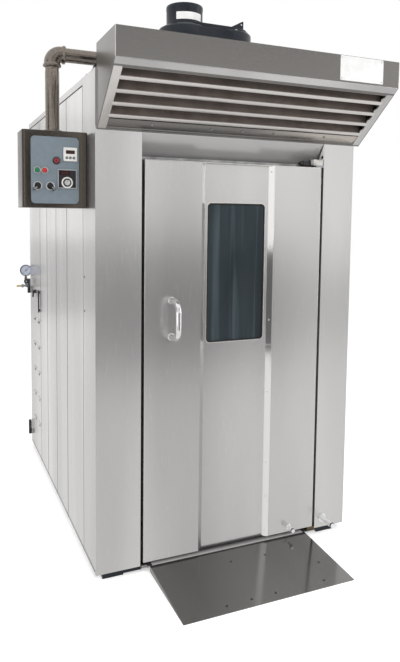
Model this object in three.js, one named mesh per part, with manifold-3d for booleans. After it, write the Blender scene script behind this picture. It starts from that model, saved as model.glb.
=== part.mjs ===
// A rotating rack oven: a stainless cabinet with one hinged, windowed door, an extraction hood
// over the door, a control box on a pendant pipe, a steel ramp, and the rack drive and the air
// circulation inside. Millimetres. X runs to the right as seen from the door, Y into the oven, Z up.
// The origin is on the floor, in the middle of the cabinet.
// Inside the cabinet group Y = 0 is the front face.
import * as THREE from "three";
import { mergeVertices } from "three/addons/utils/BufferGeometryUtils.js";
import Module from "manifold-3d";

const wasm = await Module();
wasm.setup();

// Clearances and sheets
const seat = 0.3; // between two parts that touch
const seam = 2; // open joint between the roof edge and a side panel
const sheet = 3; // folded sheet metal
const plate = 10; // brackets and flanges

// Cabinet
const bodyWidth = 1318;
const bodyDepth = 1810;
const bodyFoot = 33; // lower edge of the cladding
const leftPostWidth = 206;
const rightPostWidth = 175;
const postReturn = 225; // how far a post runs back along the side
const jambDepth = 85; // front face to the door stop
const stopWidth = 30;
const stopLeg = 25;
const panelWidths = [357, 288, 285, 245]; // strips that share the left side, from the front
const panelFlange = 25;
const seamChamfer = 3;
const grooveDepth = 2;
const roofLip = 30;

// Base
const floorTop = 28;
const floorSheet = 4;
const skidWidth = 99;
const skidInset = 41; // from the side of the cabinet
const skidSetback = 50; // from the front and the back
const railHeight = 15;
const crossWidth = 60;

// Door
const doorGap = 14;
const doorBottom = 46;
const doorHeight = 1820;
const doorThickness = 75;
const leftPanelWidth = 272;
const rightPanelWidth = 270;
const recessSlope = 24;
const recessDepth = 19;
const pivotInset = 10; // from the hinge edge of the door
const pivotSetback = 12; // from the face of the door
const pivotRadius = 5;
const pivotDepth = 16; // of the pins in the door
const bracketReach = 20; // from the pivot towards the door's middle
const bracketDepth = 40; // front to back

// Window
const windowWidth = 298;
const windowHeight = 646;
const windowLeft = 309; // from the left edge of the door
const windowSill = 991; // from the lower edge of the door
const windowCorner = 18;
const windowRim = 7;
const windowLining = 4;
const glassThickness = 5;
const glassSetback = 5;

// Door handle, bumper and the stop on the post
const handleSpan = 165;
const handleReach = 90;
const handleBar = 12.5; // radius
const handleFoot = 23; // radius
const handleLeft = 127; // from the left edge of the door
const handleHeight = 1034; // lower foot, from the lower edge of the door
const bumperReach = 50;
const bumperRadius = 10;
const bumperInset = 132; // from the door pivot
const bumperHeight = 70; // above the floor
const stopReach = 98;
const stopRadius = 12;
const stopInset = 46; // from the hinge jamb
const stopHeight = 80;

// Header above the door
const headerRise = 112; // of the slope, from the door's top to the upright front
const headerHeight = 255; // of the upright front
const gasketOverlap = 26;
const gasketThickness = 8.4;

// Baking chamber
const ceilingDrop = 20; // chamber ceiling below the top of the door
const chamberBack = 1190;
const plenumBack = 1480;
const inletRadius = 190; // fan inlet in the chamber's rear wall
const airSlots = 7;
const airSlotWidth = 40;
const airSlotHeight = 120;

// Hood
const hoodInset = 6; // from the left side of the cabinet
const hoodOverhang = 27; // past the right side
const hoodRise = 2; // above the header's slope
const slopeRise = 213; // of the open underside
const hoodReach = 281;
const fasciaHeight = 117;
const lipHeight = 21;
const lipSetback = 25; // behind the fascia
const lipReturn = 60; // slant of the lip behind the fascia
const openingDrop = 100; // how far the cut for the opening runs below the slope
const baffleStrip = 36;
const baffleSheet = 3;
const baffleFoot = 8; // start of the frame, along the slope
const baffleLength = 316;
const baffleApron = 54; // closed plate below the slats
const baffleInset = 1; // slats and apron behind the face of the frame
const slatCount = 4;
const slatFirst = 74; // middle of the lowest slat's edge, along the slope
const slatPitch = 65;
const slatEdge = 13;
const slatDepth = 50;

// Blower on the hood
const blowerY = -140;
const spigotInset = 335; // from the left side of the hood
const spigotRadius = 78;
const spigotHeight = 145; // above the hood
const voluteReach = 188; // from the spigot to the wheel's axis
const voluteRadius = 108;
const shoulderRadius = 90;
const shoulderHeight = 54; // of the wide lower part of the casing
const casingHeight = 69;
const blowerInlet = 85; // radius
const blowerWheel = 70; // radius
const blowerShaft = 6; // radius
const blowerVanes = 8;
const lugHeight = 29;
const lugSetback = 15; // behind the front of the casing
const lugWidth = 62;
const lugHole = 4; // radius
const blowerMotorRadius = 45;
const blowerMotorHeight = 90;
const blowerBore = 50; // depth of the shaft in the motor

// Pendant pipe and control box
const pipeRadius = 30.15;
const pipeWall = 3.5;
const pendantReach = 142; // from the left side to the upright pipe's axis
const pipeY = 185;
const pipeRise = 80; // above the roof
const elbowReach = 56;
const elbowRadius = 35;
const collarRadius = 39;
const collarWidth = 14;
const socketDepth = 10;
const pipeRun = 400; // level pipe from the pendant's axis to its drop to the roof
const dropBend = 45;
const roofFlange = 60; // radius
const boxReach = 142; // from the upright pipe's axis to the left of the box
const boxFoot = 1651;
const boxWidth = 277;
const boxHeight = 325;
const boxFront = 100;
const boxDepth = 145;
const boxCorner = 14;
const panelLeft = 35;
const panelFoot = 18;
const panelWidth = 203;
const panelHeight = 282;
const panelCorner = 18;
const panelSheet = 4;

// Instruments on the control panel, placed from the box's lower left corner
const timerSize = 58;
const timerLeft = 171;
const timerFoot = 199;
const controllerSize = 81;
const controllerLeft = 146;
const controllerFoot = 83;
const bezel = 7;
const instrumentDepth = 60;
const dialRadius = 17;
const dialLeft = 186;
const dialHeight = 108;
const lampLeft = 142;
const lampHeight = 200;
const lampRadius = 16;
const buttonHeight = 157;
const greenLeft = 61;
const redLeft = 92;
const buttonRadius = 10;
const buttonProud = 9;
const buttonTravel = 2.5;
const selectorHeight = 92;
const selectorLefts = [63, 115];
const selectorRadius = 13;
const leverWidth = 8;
const leverProud = 18;
const leverReach = 18; // from the selector's axis to the tip
const keyRadius = 4.5;
const keyPitch = 15;
const keyProud = 2;

// Service door
const servicePivotOut = 12; // outside the cladding
const servicePivotBack = 13; // in front of the back
const serviceStile = 25; // rear cover's return behind the door
const serviceWidth = 385;
const knuckleRadius = 10;
const knuckleHeight = 100;
const knuckleWeb = 12; // plate between a knuckle and the rear cover
const hingeFeet = [90, 1085];
const ventRows = [252, 422, 592, 762, 932];
const ventColumns = [78, 234]; // from the door's front edge
const ventLength = 70;
const ventHeight = 18;
const latchColumn = 190;
const latchHeight = 1118;
const latchLength = 62;
const latchShaft = 6; // radius

// Water inlet at the back corner
const waterPipe = 11; // radius
const nippleRadius = 7;
const valveStem = 3; // radius
const waterHeight = 1130;
const waterSetback = 32; // behind the back
const waterReach = 89; // from the left side to the end of the nipple
const waterInset = 69; // from the left side to the pipe's flange
const gaugeReach = 27; // from the left side to the gauge
const gaugeNeck = 20; // between the riser and the gauge's case
const gaugeRadius = 40;
const gaugeDepth = 30;
const gaugeDial = 6; // depth of the dial in its case
const needleStub = 2; // radius
const needleThick = 1.5;
const needleWidth = 3;
const needleTip = 28; // from the gauge's axis
const needleTail = 12;
const knobRise = 34; // above the pipe
const knobRadius = 17;

// Rack drive
const rackY = 650; // rotation axis, from the front
const shaftRadius = 20;
const hookRoom = 74; // from the hook bar to the ceiling
const hookSpan = 520;
const hookBar = 40;
const hookDrop = 60;
const gearboxSize = 170;
const gearboxHeight = 120;
const motorRadius = 65;
const motorLength = 230;
const bearingRadius = 55;
const bearingHeight = 28;

// Air circulation
const fanHeight = 1400;
const fanRadius = 175;
const fanDepth = 90;
const fanStandoff = 35; // wheel behind the chamber's rear wall
const fanShaft = 12;
const fanBlades = 8;
const fanMotorRadius = 90;
const fanMotorLength = 240;
const fanMotorFlange = 117; // radius
const heaterTubes = 7;
const heaterTubeRadius = 8;
const heaterDrop = 280; // below the fan's axis
const heaterWidth = 760;
const heaterDepth = 40;
const heaterSetback = 120; // behind the chamber's rear wall

// Ramp
const rampInsetLeft = 44; // from the jambs
const rampInsetRight = 63;
const rampReach = 407;
const rampToe = 2;
const rampRibs = 4;
const rampStart = -5.3; // in front of the posts

// Places worked out from the sizes
const left = -bodyWidth / 2;
const right = bodyWidth / 2;
const jambLeft = left + leftPostWidth;
const jambRight = right - rightPostWidth;
const chamberLeft = jambLeft + stopWidth;
const chamberRight = jambRight - stopWidth;
const chamberMiddle = (chamberLeft + chamberRight) / 2;
const stopBack = jambDepth + stopLeg;
const doorTop = doorBottom + doorHeight;
const headerBreak = doorTop + headerRise;
const bodyTop = headerBreak + headerHeight;
const roofUnder = bodyTop - sheet;
const panelTop = bodyTop - roofLip - seam;
const doorLeft = jambLeft + doorGap;
const doorWidth = jambRight - doorGap - doorLeft;
const pivotX = jambRight - doorGap - pivotInset;
const ceiling = doorTop - ceilingDrop;
const floorUnder = floorTop - floorSheet;
const hoodLeft = left + hoodInset;
const hoodRight = right + hoodOverhang;
const hoodFoot = headerBreak + hoodRise;
const lipFoot = hoodFoot + slopeRise;
const lipReach = hoodReach - lipSetback;
const fasciaFoot = lipFoot + lipHeight;
const hoodTop = fasciaFoot + fasciaHeight;
const spigotX = hoodLeft + spigotInset;
const spigotTop = hoodTop + spigotHeight;
const voluteX = spigotX + voluteReach;
const pipeX = left - pendantReach;
const pipeLevel = bodyTop + pipeRise;
const boxLeft = pipeX - boxReach;
const waterLeft = left - waterReach;
const waterRight = left + waterInset;
const gaugeX = left - gaugeReach;
const shaftFoot = ceiling - hookRoom;
const heaterTop = fanHeight - heaterDrop;
const rampLeft = jambLeft + rampInsetLeft;
const rampRight = jambRight - rampInsetRight;
const serviceSeam = bodyDepth - serviceStile - serviceWidth;
const stripShare = (serviceSeam - postReturn) / panelWidths.reduce((sum, width) => sum + width);
const sideSeams = panelWidths.map((_, index) =>
  panelWidths.slice(0, index + 1).reduce((at, width) => at + width * stripShare, postReturn),
);
const hingeX = left - servicePivotOut;
const hingeY = bodyDepth - servicePivotBack;

// Finishes
const finish = (color, roughness, metalness) =>
  new THREE.MeshStandardMaterial({ color, roughness, metalness });
const brushed = finish(0xb9b7b4, 0.35, 0.9);
const darkBrushed = finish(0x86827e, 0.4, 0.9);
const blackPaint = finish(0x23242a, 0.55, 0.1);
const hammered = finish(0x4b443c, 0.45, 0.5);
const rubber = finish(0x17171a, 0.85, 0);
const glass = new THREE.MeshStandardMaterial({
  color: 0x3a4046,
  roughness: 0.05,
  metalness: 0,
  transparent: true,
  opacity: 0.45,
});
const chrome = finish(0xd8d8da, 0.12, 1);
const brass = finish(0xb59a55, 0.3, 0.9);
const zinc = finish(0x9a9a98, 0.5, 0.8);
const blackPlastic = finish(0x1b1b1d, 0.45, 0);
const whitePlastic = finish(0xe9e9e6, 0.5, 0);
const membrane = finish(0x778791, 0.5, 0);
const greenPlastic = finish(0x1d7a4a, 0.35, 0);
const redPlastic = finish(0xb3303a, 0.35, 0);

// A closed geometry as a solid that can be joined and cut.
function solid(geometry) {
  const bare = new THREE.BufferGeometry();
  const flat = geometry.index ? geometry.toNonIndexed() : geometry;
  bare.setAttribute("position", flat.getAttribute("position"));
  const merged = mergeVertices(bare, 1e-4);
  return new wasm.Manifold(
    new wasm.Mesh({
      numProp: 3,
      vertProperties: merged.attributes.position.array,
      triVerts: new Uint32Array(merged.index.array),
    }),
  );
}

function geometryOf(made) {
  const mesh = made.getMesh();
  const geometry = new THREE.BufferGeometry();
  geometry.setAttribute("position", new THREE.BufferAttribute(mesh.vertProperties, 3));
  geometry.setIndex(new THREE.BufferAttribute(mesh.triVerts, 1));
  geometry.computeVertexNormals();
  return geometry;
}

function join(...geometries) {
  return geometryOf(geometries.map(solid).reduce((whole, next) => whole.add(next)));
}

function cut(geometry, ...tools) {
  return geometryOf(tools.map(solid).reduce((whole, tool) => whole.subtract(tool), solid(geometry)));
}

// A box from its ranges along X, Y and Z.
function block([x0, x1], [y0, y1], [z0, z1]) {
  const geometry = new THREE.BoxGeometry(x1 - x0, y1 - y0, z1 - z0);
  return geometry.translate((x0 + x1) / 2, (y0 + y1) / 2, (z0 + z1) / 2);
}

// An outline pushed along one axis: its points are (y, z) for "x", (x, z) for "y" and (x, y) for "z".
function pushed(outline, axis, from, to) {
  const shapeOf = (points) => new THREE.Shape(points.map(([u, v]) => new THREE.Vector2(u, v)));
  const shape = outline instanceof THREE.Shape ? outline : shapeOf(outline);
  const settings = { depth: to - from, bevelEnabled: false, curveSegments: 6 };
  const geometry = new THREE.ExtrudeGeometry(shape, settings);
  if (axis === "x") {
    return geometry.rotateY(Math.PI / 2).rotateX(Math.PI / 2).translate(from, 0, 0);
  }
  if (axis === "y") {
    return geometry.rotateX(Math.PI / 2).translate(0, to, 0);
  }
  return geometry.translate(0, 0, from);
}

function sidesOf(radius) {
  return radius < 8 ? 12 : radius < 35 ? 16 : 24;
}

// A round bar from a point along an axis.
function bar(radius, length, axis, [x, y, z]) {
  const geometry = new THREE.CylinderGeometry(radius, radius, length, sidesOf(radius));
  if (axis === "x") {
    geometry.rotateZ(-Math.PI / 2).translate(length / 2, 0, 0);
  } else if (axis === "y") {
    geometry.translate(0, length / 2, 0);
  } else {
    geometry.rotateX(Math.PI / 2).translate(0, 0, length / 2);
  }
  return geometry.translate(x, y, z);
}

// The cut for a shaft that turns in it: its flats, not its corners, keep the clearance.
function bore(radius, length, axis, at) {
  const clear = radius + seat;
  return bar(clear / Math.cos(Math.PI / sidesOf(clear)), length, axis, at);
}

// A rectangle with round corners, from its lower left corner.
function roundedShape(x, z, width, height, radius) {
  const shape = new THREE.Shape();
  shape.moveTo(x + radius, z);
  shape.lineTo(x + width - radius, z);
  shape.absarc(x + width - radius, z + radius, radius, -Math.PI / 2, 0);
  shape.lineTo(x + width, z + height - radius);
  shape.absarc(x + width - radius, z + height - radius, radius, 0, Math.PI / 2);
  shape.lineTo(x + radius, z + height);
  shape.absarc(x + radius, z + height - radius, radius, Math.PI / 2, Math.PI);
  shape.lineTo(x, z + radius);
  shape.absarc(x + radius, z + radius, radius, Math.PI, Math.PI * 1.5);
  return shape;
}

// A round section along a path, with a bore where one is given.
function tube(path, radius, bore, steps, sides) {
  const ring = (r) => {
    const points = [];
    for (let i = 0; i < sides; i += 1) {
      const angle = (i / sides) * 2 * Math.PI;
      points.push(new THREE.Vector2(r * Math.cos(angle), r * Math.sin(angle)));
    }
    return points;
  };
  const section = new THREE.Shape(ring(radius));
  if (bore) {
    section.holes.push(new THREE.Path(ring(bore)));
  }
  return new THREE.ExtrudeGeometry(section, { steps, extrudePath: path, bevelEnabled: false });
}

function place(parent, name, geometry, material, [x, y, z] = [0, 0, 0]) {
  const mesh = new THREE.Mesh(geometry, material);
  mesh.name = name;
  mesh.position.set(x, y, z);
  parent.add(mesh);
}

function groupAt(parent, x, y, z) {
  const group = new THREE.Group();
  group.position.set(x, y, z);
  parent.add(group);
  return group;
}

// Welded base: two skids, a rail along each side and three cross members under the floor.
function addBase(cabinet) {
  const under = floorUnder - seat;
  const skidLeft = left + skidInset;
  const skidBack = bodyDepth - skidSetback;
  const railHeights = [bodyFoot - seat, bodyFoot - seat + railHeight];
  const railLength = [sheet + seat, bodyDepth - sheet - seat];
  const parts = [];
  for (const side of [1, -1]) {
    const across = (a, b) => (side > 0 ? [a, b] : [-b, -a]);
    parts.push(block(across(skidLeft, skidLeft + skidWidth), [skidSetback, skidBack], [0, bodyFoot]));
    const railWidth = across(left + panelFlange + seat, skidLeft + skidWidth);
    parts.push(block(railWidth, railLength, railHeights));
  }
  const middle = bodyDepth / 2 - crossWidth / 2;
  for (const start of [skidSetback, middle, skidBack - crossWidth]) {
    parts.push(block([skidLeft, -skidLeft], [start, start + crossWidth], [0, under]));
  }
  place(cabinet, "base_frame", join(...parts), blackPaint);
}

// The folded post on each side of the door: front, jamb, door stop and the return along the side.
function addPosts(cabinet) {
  const outline = (face, jamb, inward) => {
    const stop = jamb + inward * stopWidth;
    const t = inward * sheet;
    return [
      [face, postReturn],
      [face, 0],
      [jamb, 0],
      [jamb, jambDepth],
      [stop, jambDepth],
      [stop, stopBack],
      [stop - t, stopBack],
      [stop - t, jambDepth + sheet],
      [jamb - t, jambDepth + sheet],
      [jamb - t, sheet],
      [face + t, sheet],
      [face + t, postReturn],
    ];
  };
  const top = roofUnder - seat;
  place(cabinet, "left_post", pushed(outline(left, jambLeft, 1), "z", bodyFoot, top), brushed);
  place(cabinet, "right_post", pushed(outline(right, jambRight, -1), "z", bodyFoot, top), brushed);
}

// Upright front above the door, sloping back to the stop that the door closes against.
function addHeader(cabinet) {
  const stopTop = doorTop + doorGap / 2;
  const outline = [
    [0, roofUnder - seat],
    [0, headerBreak],
    [jambDepth, stopTop],
    [jambDepth, ceiling],
    [stopBack, ceiling],
    [stopBack, ceiling + sheet],
    [jambDepth + sheet, ceiling + sheet],
    [jambDepth + sheet, stopTop + sheet / 2],
    [sheet, headerBreak + sheet / 2],
    [sheet, roofUnder - seat],
  ];
  const header = pushed(outline, "x", jambLeft + seat, jambRight - seat);
  const stopNotch = (from, to) =>
    block([from, to], [jambDepth - 1, stopBack + 1], [ceiling - 1, stopTop + 3 * sheet]);
  const cutLeft = stopNotch(jambLeft - 1, chamberLeft + seat);
  const cutRight = stopNotch(chamberRight - seat, jambRight + 1);
  place(cabinet, "header_panel", cut(header, cutLeft, cutRight), brushed);
}

// Flanged cladding down both sides. The back of the left side is the service door.
function addCladding(cabinet) {
  const c = seamChamfer;
  const width = panelFlange;
  const starts = [postReturn, ...sideSeams.slice(0, -1)];
  starts.forEach((start, index) => {
    const from = start + seat / 2;
    const length = sideSeams[index] - seat / 2 - from;
    const outline = [
      [left, from + c],
      [left + c, from],
      [left + width, from],
      [left + width, from + sheet],
      [left + sheet, from + sheet],
      [left + sheet, from + length - sheet],
      [left + width, from + length - sheet],
      [left + width, from + length],
      [left + c, from + length],
      [left, from + length - c],
    ];
    const panel = pushed(outline.reverse(), "z", bodyFoot, panelTop);
    place(cabinet, "left_side_panel_" + (index + 1), panel, brushed);
  });
  const from = postReturn + seat;
  const to = bodyDepth - serviceStile - seat;
  const grooves = sideSeams.flatMap((at) => [
    [right, at - c],
    [right - grooveDepth, at],
    [right, at + c],
  ]);
  const outline = [
    [right - width, from],
    [right - c, from],
    [right, from + c],
    ...grooves,
    [right, to - c],
    [right - c, to],
    [right - width, to],
    [right - width, to - sheet],
    [right - sheet, to - sheet],
    [right - sheet, from + sheet],
    [right - width, from + sheet],
  ];
  place(cabinet, "right_side_panel", pushed(outline, "z", bodyFoot, panelTop), brushed);
}

// Rear cover with short returns; the left one carries the fixed hinge knuckles and their pins.
function addRearCover(cabinet) {
  const from = bodyDepth - serviceStile;
  const outline = [
    [left, from],
    [left + sheet, from],
    [left + sheet, bodyDepth - sheet],
    [right - sheet, bodyDepth - sheet],
    [right - sheet, from],
    [right, from],
    [right, bodyDepth],
    [left, bodyDepth],
  ];
  const parts = [pushed(outline, "z", bodyFoot, panelTop)];
  const half = knuckleHeight / 2;
  for (const foot of hingeFeet) {
    parts.push(bar(knuckleRadius, half - seat, "z", [hingeX, hingeY, foot]));
    parts.push(bar(knuckleRadius / 2, knuckleHeight - seat, "z", [hingeX, hingeY, foot]));
    const web = [hingeY - knuckleWeb / 2, hingeY + knuckleWeb / 2];
    parts.push(block([hingeX, left + 1], web, [foot, foot + half - seat]));
  }
  place(cabinet, "rear_cover", join(...parts), brushed);
}

// Roof sheet, turned down along the sides behind the posts and across the back.
function addRoof(cabinet) {
  const lipFoot = bodyTop - roofLip;
  const whole = block([left, right], [0, bodyDepth], [lipFoot, bodyTop]);
  const inside = block([left + sheet, right - sheet], [-1, bodyDepth - sheet], [lipFoot - 1, roofUnder]);
  const overPosts = block([left - 1, right + 1], [-1, postReturn + seat], [lipFoot - 1, roofUnder]);
  const shaftHole = bar(shaftRadius + plate, roofLip, "z", [chamberMiddle, rackY, roofUnder - sheet]);
  place(cabinet, "roof_panel", cut(whole, inside, overPosts, shaftHole), brushed);
}

// Baking chamber: floor, two walls, ceiling, the rear wall with its air openings, and the bulkhead.
function addChamber(cabinet) {
  const inside = [chamberLeft + seat, chamberRight - seat];
  const back = plenumBack - sheet;
  const wallRange = [stopBack + seat, plenumBack];
  const wallHeight = [floorTop + seat, roofUnder - seat];
  const floorWidth = [jambLeft + seat, jambRight - seat];
  const floor = block(floorWidth, [rampStart + seat, plenumBack], [floorUnder, floorTop]);
  const stopCut = (from, to) =>
    block([from, to], [jambDepth - seat, stopBack + seat], [0, bodyFoot]);
  const leftStop = stopCut(jambLeft, chamberLeft + seat);
  const rightStop = stopCut(chamberRight - seat, jambRight);
  place(cabinet, "chamber_floor", cut(floor, leftStop, rightStop), darkBrushed);
  const leftWall = block([chamberLeft - sheet, chamberLeft], wallRange, wallHeight);
  place(cabinet, "chamber_left_wall", leftWall, brushed);
  const rightWall = block([chamberRight, chamberRight + sheet], wallRange, wallHeight);
  place(cabinet, "chamber_right_wall", rightWall, brushed);
  const ceilingOutline = [
    [stopBack + seat, roofUnder - seat],
    [stopBack + seat, ceiling],
    [back - seat, ceiling],
    [back - seat, roofUnder - seat],
    [back - seat - sheet, roofUnder - seat],
    [back - seat - sheet, ceiling + sheet],
    [stopBack + seat + sheet, ceiling + sheet],
    [stopBack + seat + sheet, roofUnder - seat],
  ];
  const shaftHole = bar(shaftRadius + plate, 4 * sheet, "z", [chamberMiddle, rackY, ceiling - sheet]);
  const ceilingPanel = pushed(ceilingOutline, "x", ...inside);
  place(cabinet, "chamber_ceiling", cut(ceilingPanel, shaftHole), brushed);

  const wallSpan = [floorTop + seat, ceiling - seat];
  const rearWall = block(inside, [chamberBack, chamberBack + sheet], wallSpan);
  const through = [chamberBack - sheet, chamberBack + 2 * sheet];
  const inlet = [chamberMiddle, through[0], fanHeight];
  const openings = [bar(inletRadius, 3 * sheet, "y", inlet)];
  const slotPitch = (ceiling - floorTop) / airSlots;
  for (const side of [chamberLeft + airSlotWidth, chamberRight - 2 * airSlotWidth]) {
    for (let row = 0; row < airSlots; row += 1) {
      const middle = floorTop + slotPitch * (row + 0.5);
      const upright = [middle - airSlotHeight / 2, middle + airSlotHeight / 2];
      openings.push(block([side, side + airSlotWidth], through, upright));
    }
  }
  place(cabinet, "chamber_rear_wall", cut(rearWall, ...openings), brushed);

  const bulkhead = block(inside, [back, plenumBack], [floorTop + seat, roofUnder - seat]);
  const fanHole = bar(fanShaft + plate, 4 * sheet, "y", [chamberMiddle, back - sheet, fanHeight]);
  place(cabinet, "plenum_bulkhead", cut(bulkhead, fanHole), zinc);
}

// Inverted U of soft seal on the door stop.
function addDoorGasket(cabinet) {
  const top = doorTop + doorGap / 2;
  const outer = [jambLeft + seat, jambRight - seat];
  const inner = [outer[0] + gasketOverlap, outer[1] - gasketOverlap];
  const outline = [
    [outer[0], floorTop + seat],
    [inner[0], floorTop + seat],
    [inner[0], top - gasketOverlap],
    [inner[1], top - gasketOverlap],
    [inner[1], floorTop + seat],
    [outer[1], floorTop + seat],
    [outer[1], top],
    [outer[0], top],
  ];
  const back = jambDepth - seat;
  place(cabinet, "door_gasket", pushed(outline, "y", back - gasketThickness, back), rubber);
}

// The door, in its own group at its lower left front corner.
function addDoor(cabinet) {
  const door = groupAt(cabinet, doorLeft, 0, doorBottom);
  const height = doorHeight;
  const middleEnd = doorWidth - rightPanelWidth;
  const outline = (inset) => [
    [inset, inset],
    [leftPanelWidth - inset / 2, inset],
    [leftPanelWidth + recessSlope - inset / 2, recessDepth + inset],
    [middleEnd - recessSlope + inset / 2, recessDepth + inset],
    [middleEnd + inset / 2, inset],
    [doorWidth - inset, inset],
    [doorWidth - inset, doorThickness - inset],
    [inset, doorThickness - inset],
  ];
  const lining = (spare) => {
    const inset = windowRim - windowLining + spare;
    const across = windowWidth - 2 * inset;
    const up = windowHeight - 2 * inset;
    return roundedShape(windowLeft + inset, windowSill + inset, across, up, windowCorner - inset);
  };
  const pivot = [doorWidth - pivotInset, pivotSetback];
  const shell = cut(
    pushed(outline(0), "z", 0, height),
    pushed(outline(sheet), "z", sheet, height - sheet),
    pushed(lining(-seat), "y", -1, doorThickness + 1),
    bore(pivotRadius, pivotDepth + 1, "z", [...pivot, -1]),
    bore(pivotRadius, pivotDepth + 1, "z", [...pivot, height - pivotDepth]),
  );
  place(door, "door_shell", shell, brushed);

  // Rubber frame: a flat rim on the recessed face and a lining through the door.
  const rimFace = recessDepth - seat;
  const rim = roundedShape(windowLeft, windowSill, windowWidth, windowHeight, windowCorner);
  const frame = cut(
    join(
      pushed(rim, "y", rimFace - sheet, rimFace),
      pushed(lining(0), "y", rimFace - sheet, doorThickness),
    ),
    pushed(lining(windowLining), "y", -1, doorThickness + 1),
  );
  place(door, "window_frame", frame, rubber);
  const pane = lining(windowLining + seat);
  const paneFront = rimFace + glassSetback;
  place(door, "window_glass", pushed(pane, "y", paneFront, paneFront + glassThickness), glass);

  // D-shaped pull with round feet.
  const bend = handleBar * 2;
  const path = new THREE.CurvePath();
  const corner = (a, b, c) => new THREE.QuadraticBezierCurve3(a, b, c);
  const v = (y, z) => new THREE.Vector3(0, y, z);
  path.add(new THREE.LineCurve3(v(-seat, 0), v(bend - handleReach, 0)));
  path.add(corner(v(bend - handleReach, 0), v(-handleReach, 0), v(-handleReach, bend)));
  const gripTop = v(-handleReach, handleSpan - bend);
  const upperLeg = v(bend - handleReach, handleSpan);
  path.add(new THREE.LineCurve3(v(-handleReach, bend), gripTop));
  path.add(corner(gripTop, v(-handleReach, handleSpan), upperLeg));
  path.add(new THREE.LineCurve3(upperLeg, v(-seat, handleSpan)));
  const feet = [0, handleSpan].map((z) => bar(handleFoot, sheet, "y", [0, -seat - sheet, z]));
  const pull = join(tube(path, handleBar, 0, 24, 8), ...feet);
  place(door, "door_handle", pull, chrome, [handleLeft, 0, handleHeight]);

  const bumper = bar(bumperRadius, bumperReach, "y", [0, -bumperReach - seat, 0]);
  place(door, "door_bumper", bumper, chrome, [pivot[0] - bumperInset, 0, bumperHeight - doorBottom]);
}

// Pivot brackets on the hinge jamb, and the tube that stops the open door.
function addDoorFittings(cabinet) {
  const arm = [pivotX - bracketReach, jambRight - seat];
  const along = [0, bracketDepth];
  const pinLength = pivotDepth + plate / 2;
  const upperPin = [pivotX, pivotSetback, doorTop - pivotDepth + 2 * seat];
  const upper = join(
    block(arm, along, [doorTop + seat, doorTop + seat + plate]),
    bar(pivotRadius, pinLength, "z", upperPin),
  );
  place(cabinet, "top_hinge_bracket", upper, zinc);
  const lowerPin = [pivotX, pivotSetback, doorBottom + pivotDepth - 2 * seat - pinLength];
  const lower = join(
    block(arm, along, [floorTop + seat, doorBottom - seat]),
    bar(pivotRadius, pinLength, "z", lowerPin),
  );
  place(cabinet, "bottom_hinge_bracket", lower, brass);
  const stop = join(
    bar(stopRadius, stopReach, "y", [0, -stopReach - seat, 0]),
    bar(2 * stopRadius, sheet, "y", [0, -sheet - seat, 0]),
  );
  place(cabinet, "post_stop", stop, chrome, [jambRight + stopInset, 0, stopHeight]);
}

// Hood canopy: open along its sloping underside.
function addHood(cabinet) {
  const outer = [
    [-seat, hoodFoot],
    [-seat, hoodTop],
    [-hoodReach, hoodTop],
    [-hoodReach, fasciaFoot],
    [-lipReach, lipFoot],
  ];
  const inner = [
    [-seat - sheet, hoodFoot - openingDrop],
    [-seat - sheet, hoodTop - sheet],
    [sheet - hoodReach, hoodTop - sheet],
    [sheet - hoodReach, fasciaFoot + sheet / 2],
    [sheet / 2 - lipReach, lipFoot + sheet],
    [lipReturn - lipReach, lipFoot - openingDrop],
  ];
  const canopy = cut(
    pushed(outer.reverse(), "x", hoodLeft, hoodRight),
    pushed(inner.reverse(), "x", hoodLeft + sheet, hoodRight - sheet),
    bar(blowerInlet, 4 * sheet, "z", [voluteX, blowerY, hoodTop - 2 * sheet]),
  );
  place(cabinet, "hood_canopy", canopy, darkBrushed);
}

// Baffle grille in the hood's underside: a frame, a closed apron and slanted slats.
function addBaffle(cabinet) {
  const rise = lipFoot - hoodFoot;
  const run = lipReach;
  const length = Math.hypot(rise, run);
  const point = (along, inward) => [
    (-run * along + rise * inward) / length,
    hoodFoot + (rise * along + run * inward) / length,
  ];
  const inside = [hoodLeft + sheet + seat, hoodRight - sheet - seat];
  const end = baffleFoot + baffleLength;
  const strip = (from, to, inset) => [
    point(from, inset),
    point(to, inset),
    point(to, inset + baffleSheet),
    point(from, inset + baffleSheet),
  ];
  const side = strip(baffleFoot, end, 0);
  const across = [inside[0] + baffleStrip / 2, inside[1] - baffleStrip / 2];
  const parts = [
    pushed(side, "x", inside[0], inside[0] + baffleStrip),
    pushed(side, "x", inside[1] - baffleStrip, inside[1]),
    pushed(strip(baffleFoot + baffleInset, baffleFoot + baffleApron, baffleInset), "x", ...across),
    pushed(strip(end - slatEdge, end - baffleInset, baffleInset), "x", ...across),
  ];
  for (let row = 0; row < slatCount; row += 1) {
    const low = slatFirst + row * slatPitch - slatEdge / 2;
    const face = baffleInset;
    const back = baffleInset + baffleSheet;
    const [y, z] = point(low + slatEdge, face);
    const under = z - baffleSheet;
    const fold = ((under - hoodFoot) * length - run * back) / rise;
    const outline = [
      point(low, face),
      [y, z],
      [y + slatDepth, z],
      [y + slatDepth, under],
      point(fold, back),
      point(low, back),
    ];
    parts.push(pushed(outline, "x", ...across));
  }
  place(cabinet, "hood_baffle", join(...parts), brushed);
}

// A capsule outline round two centres on one line.
function capsule(xStart, xEnd, y, radius) {
  const shape = new THREE.Shape();
  shape.moveTo(xEnd, y - radius);
  shape.absarc(xEnd, y, radius, -Math.PI / 2, Math.PI / 2);
  shape.lineTo(xStart, y + radius);
  shape.absarc(xStart, y, radius, Math.PI / 2, Math.PI * 1.5);
  return shape;
}

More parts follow.
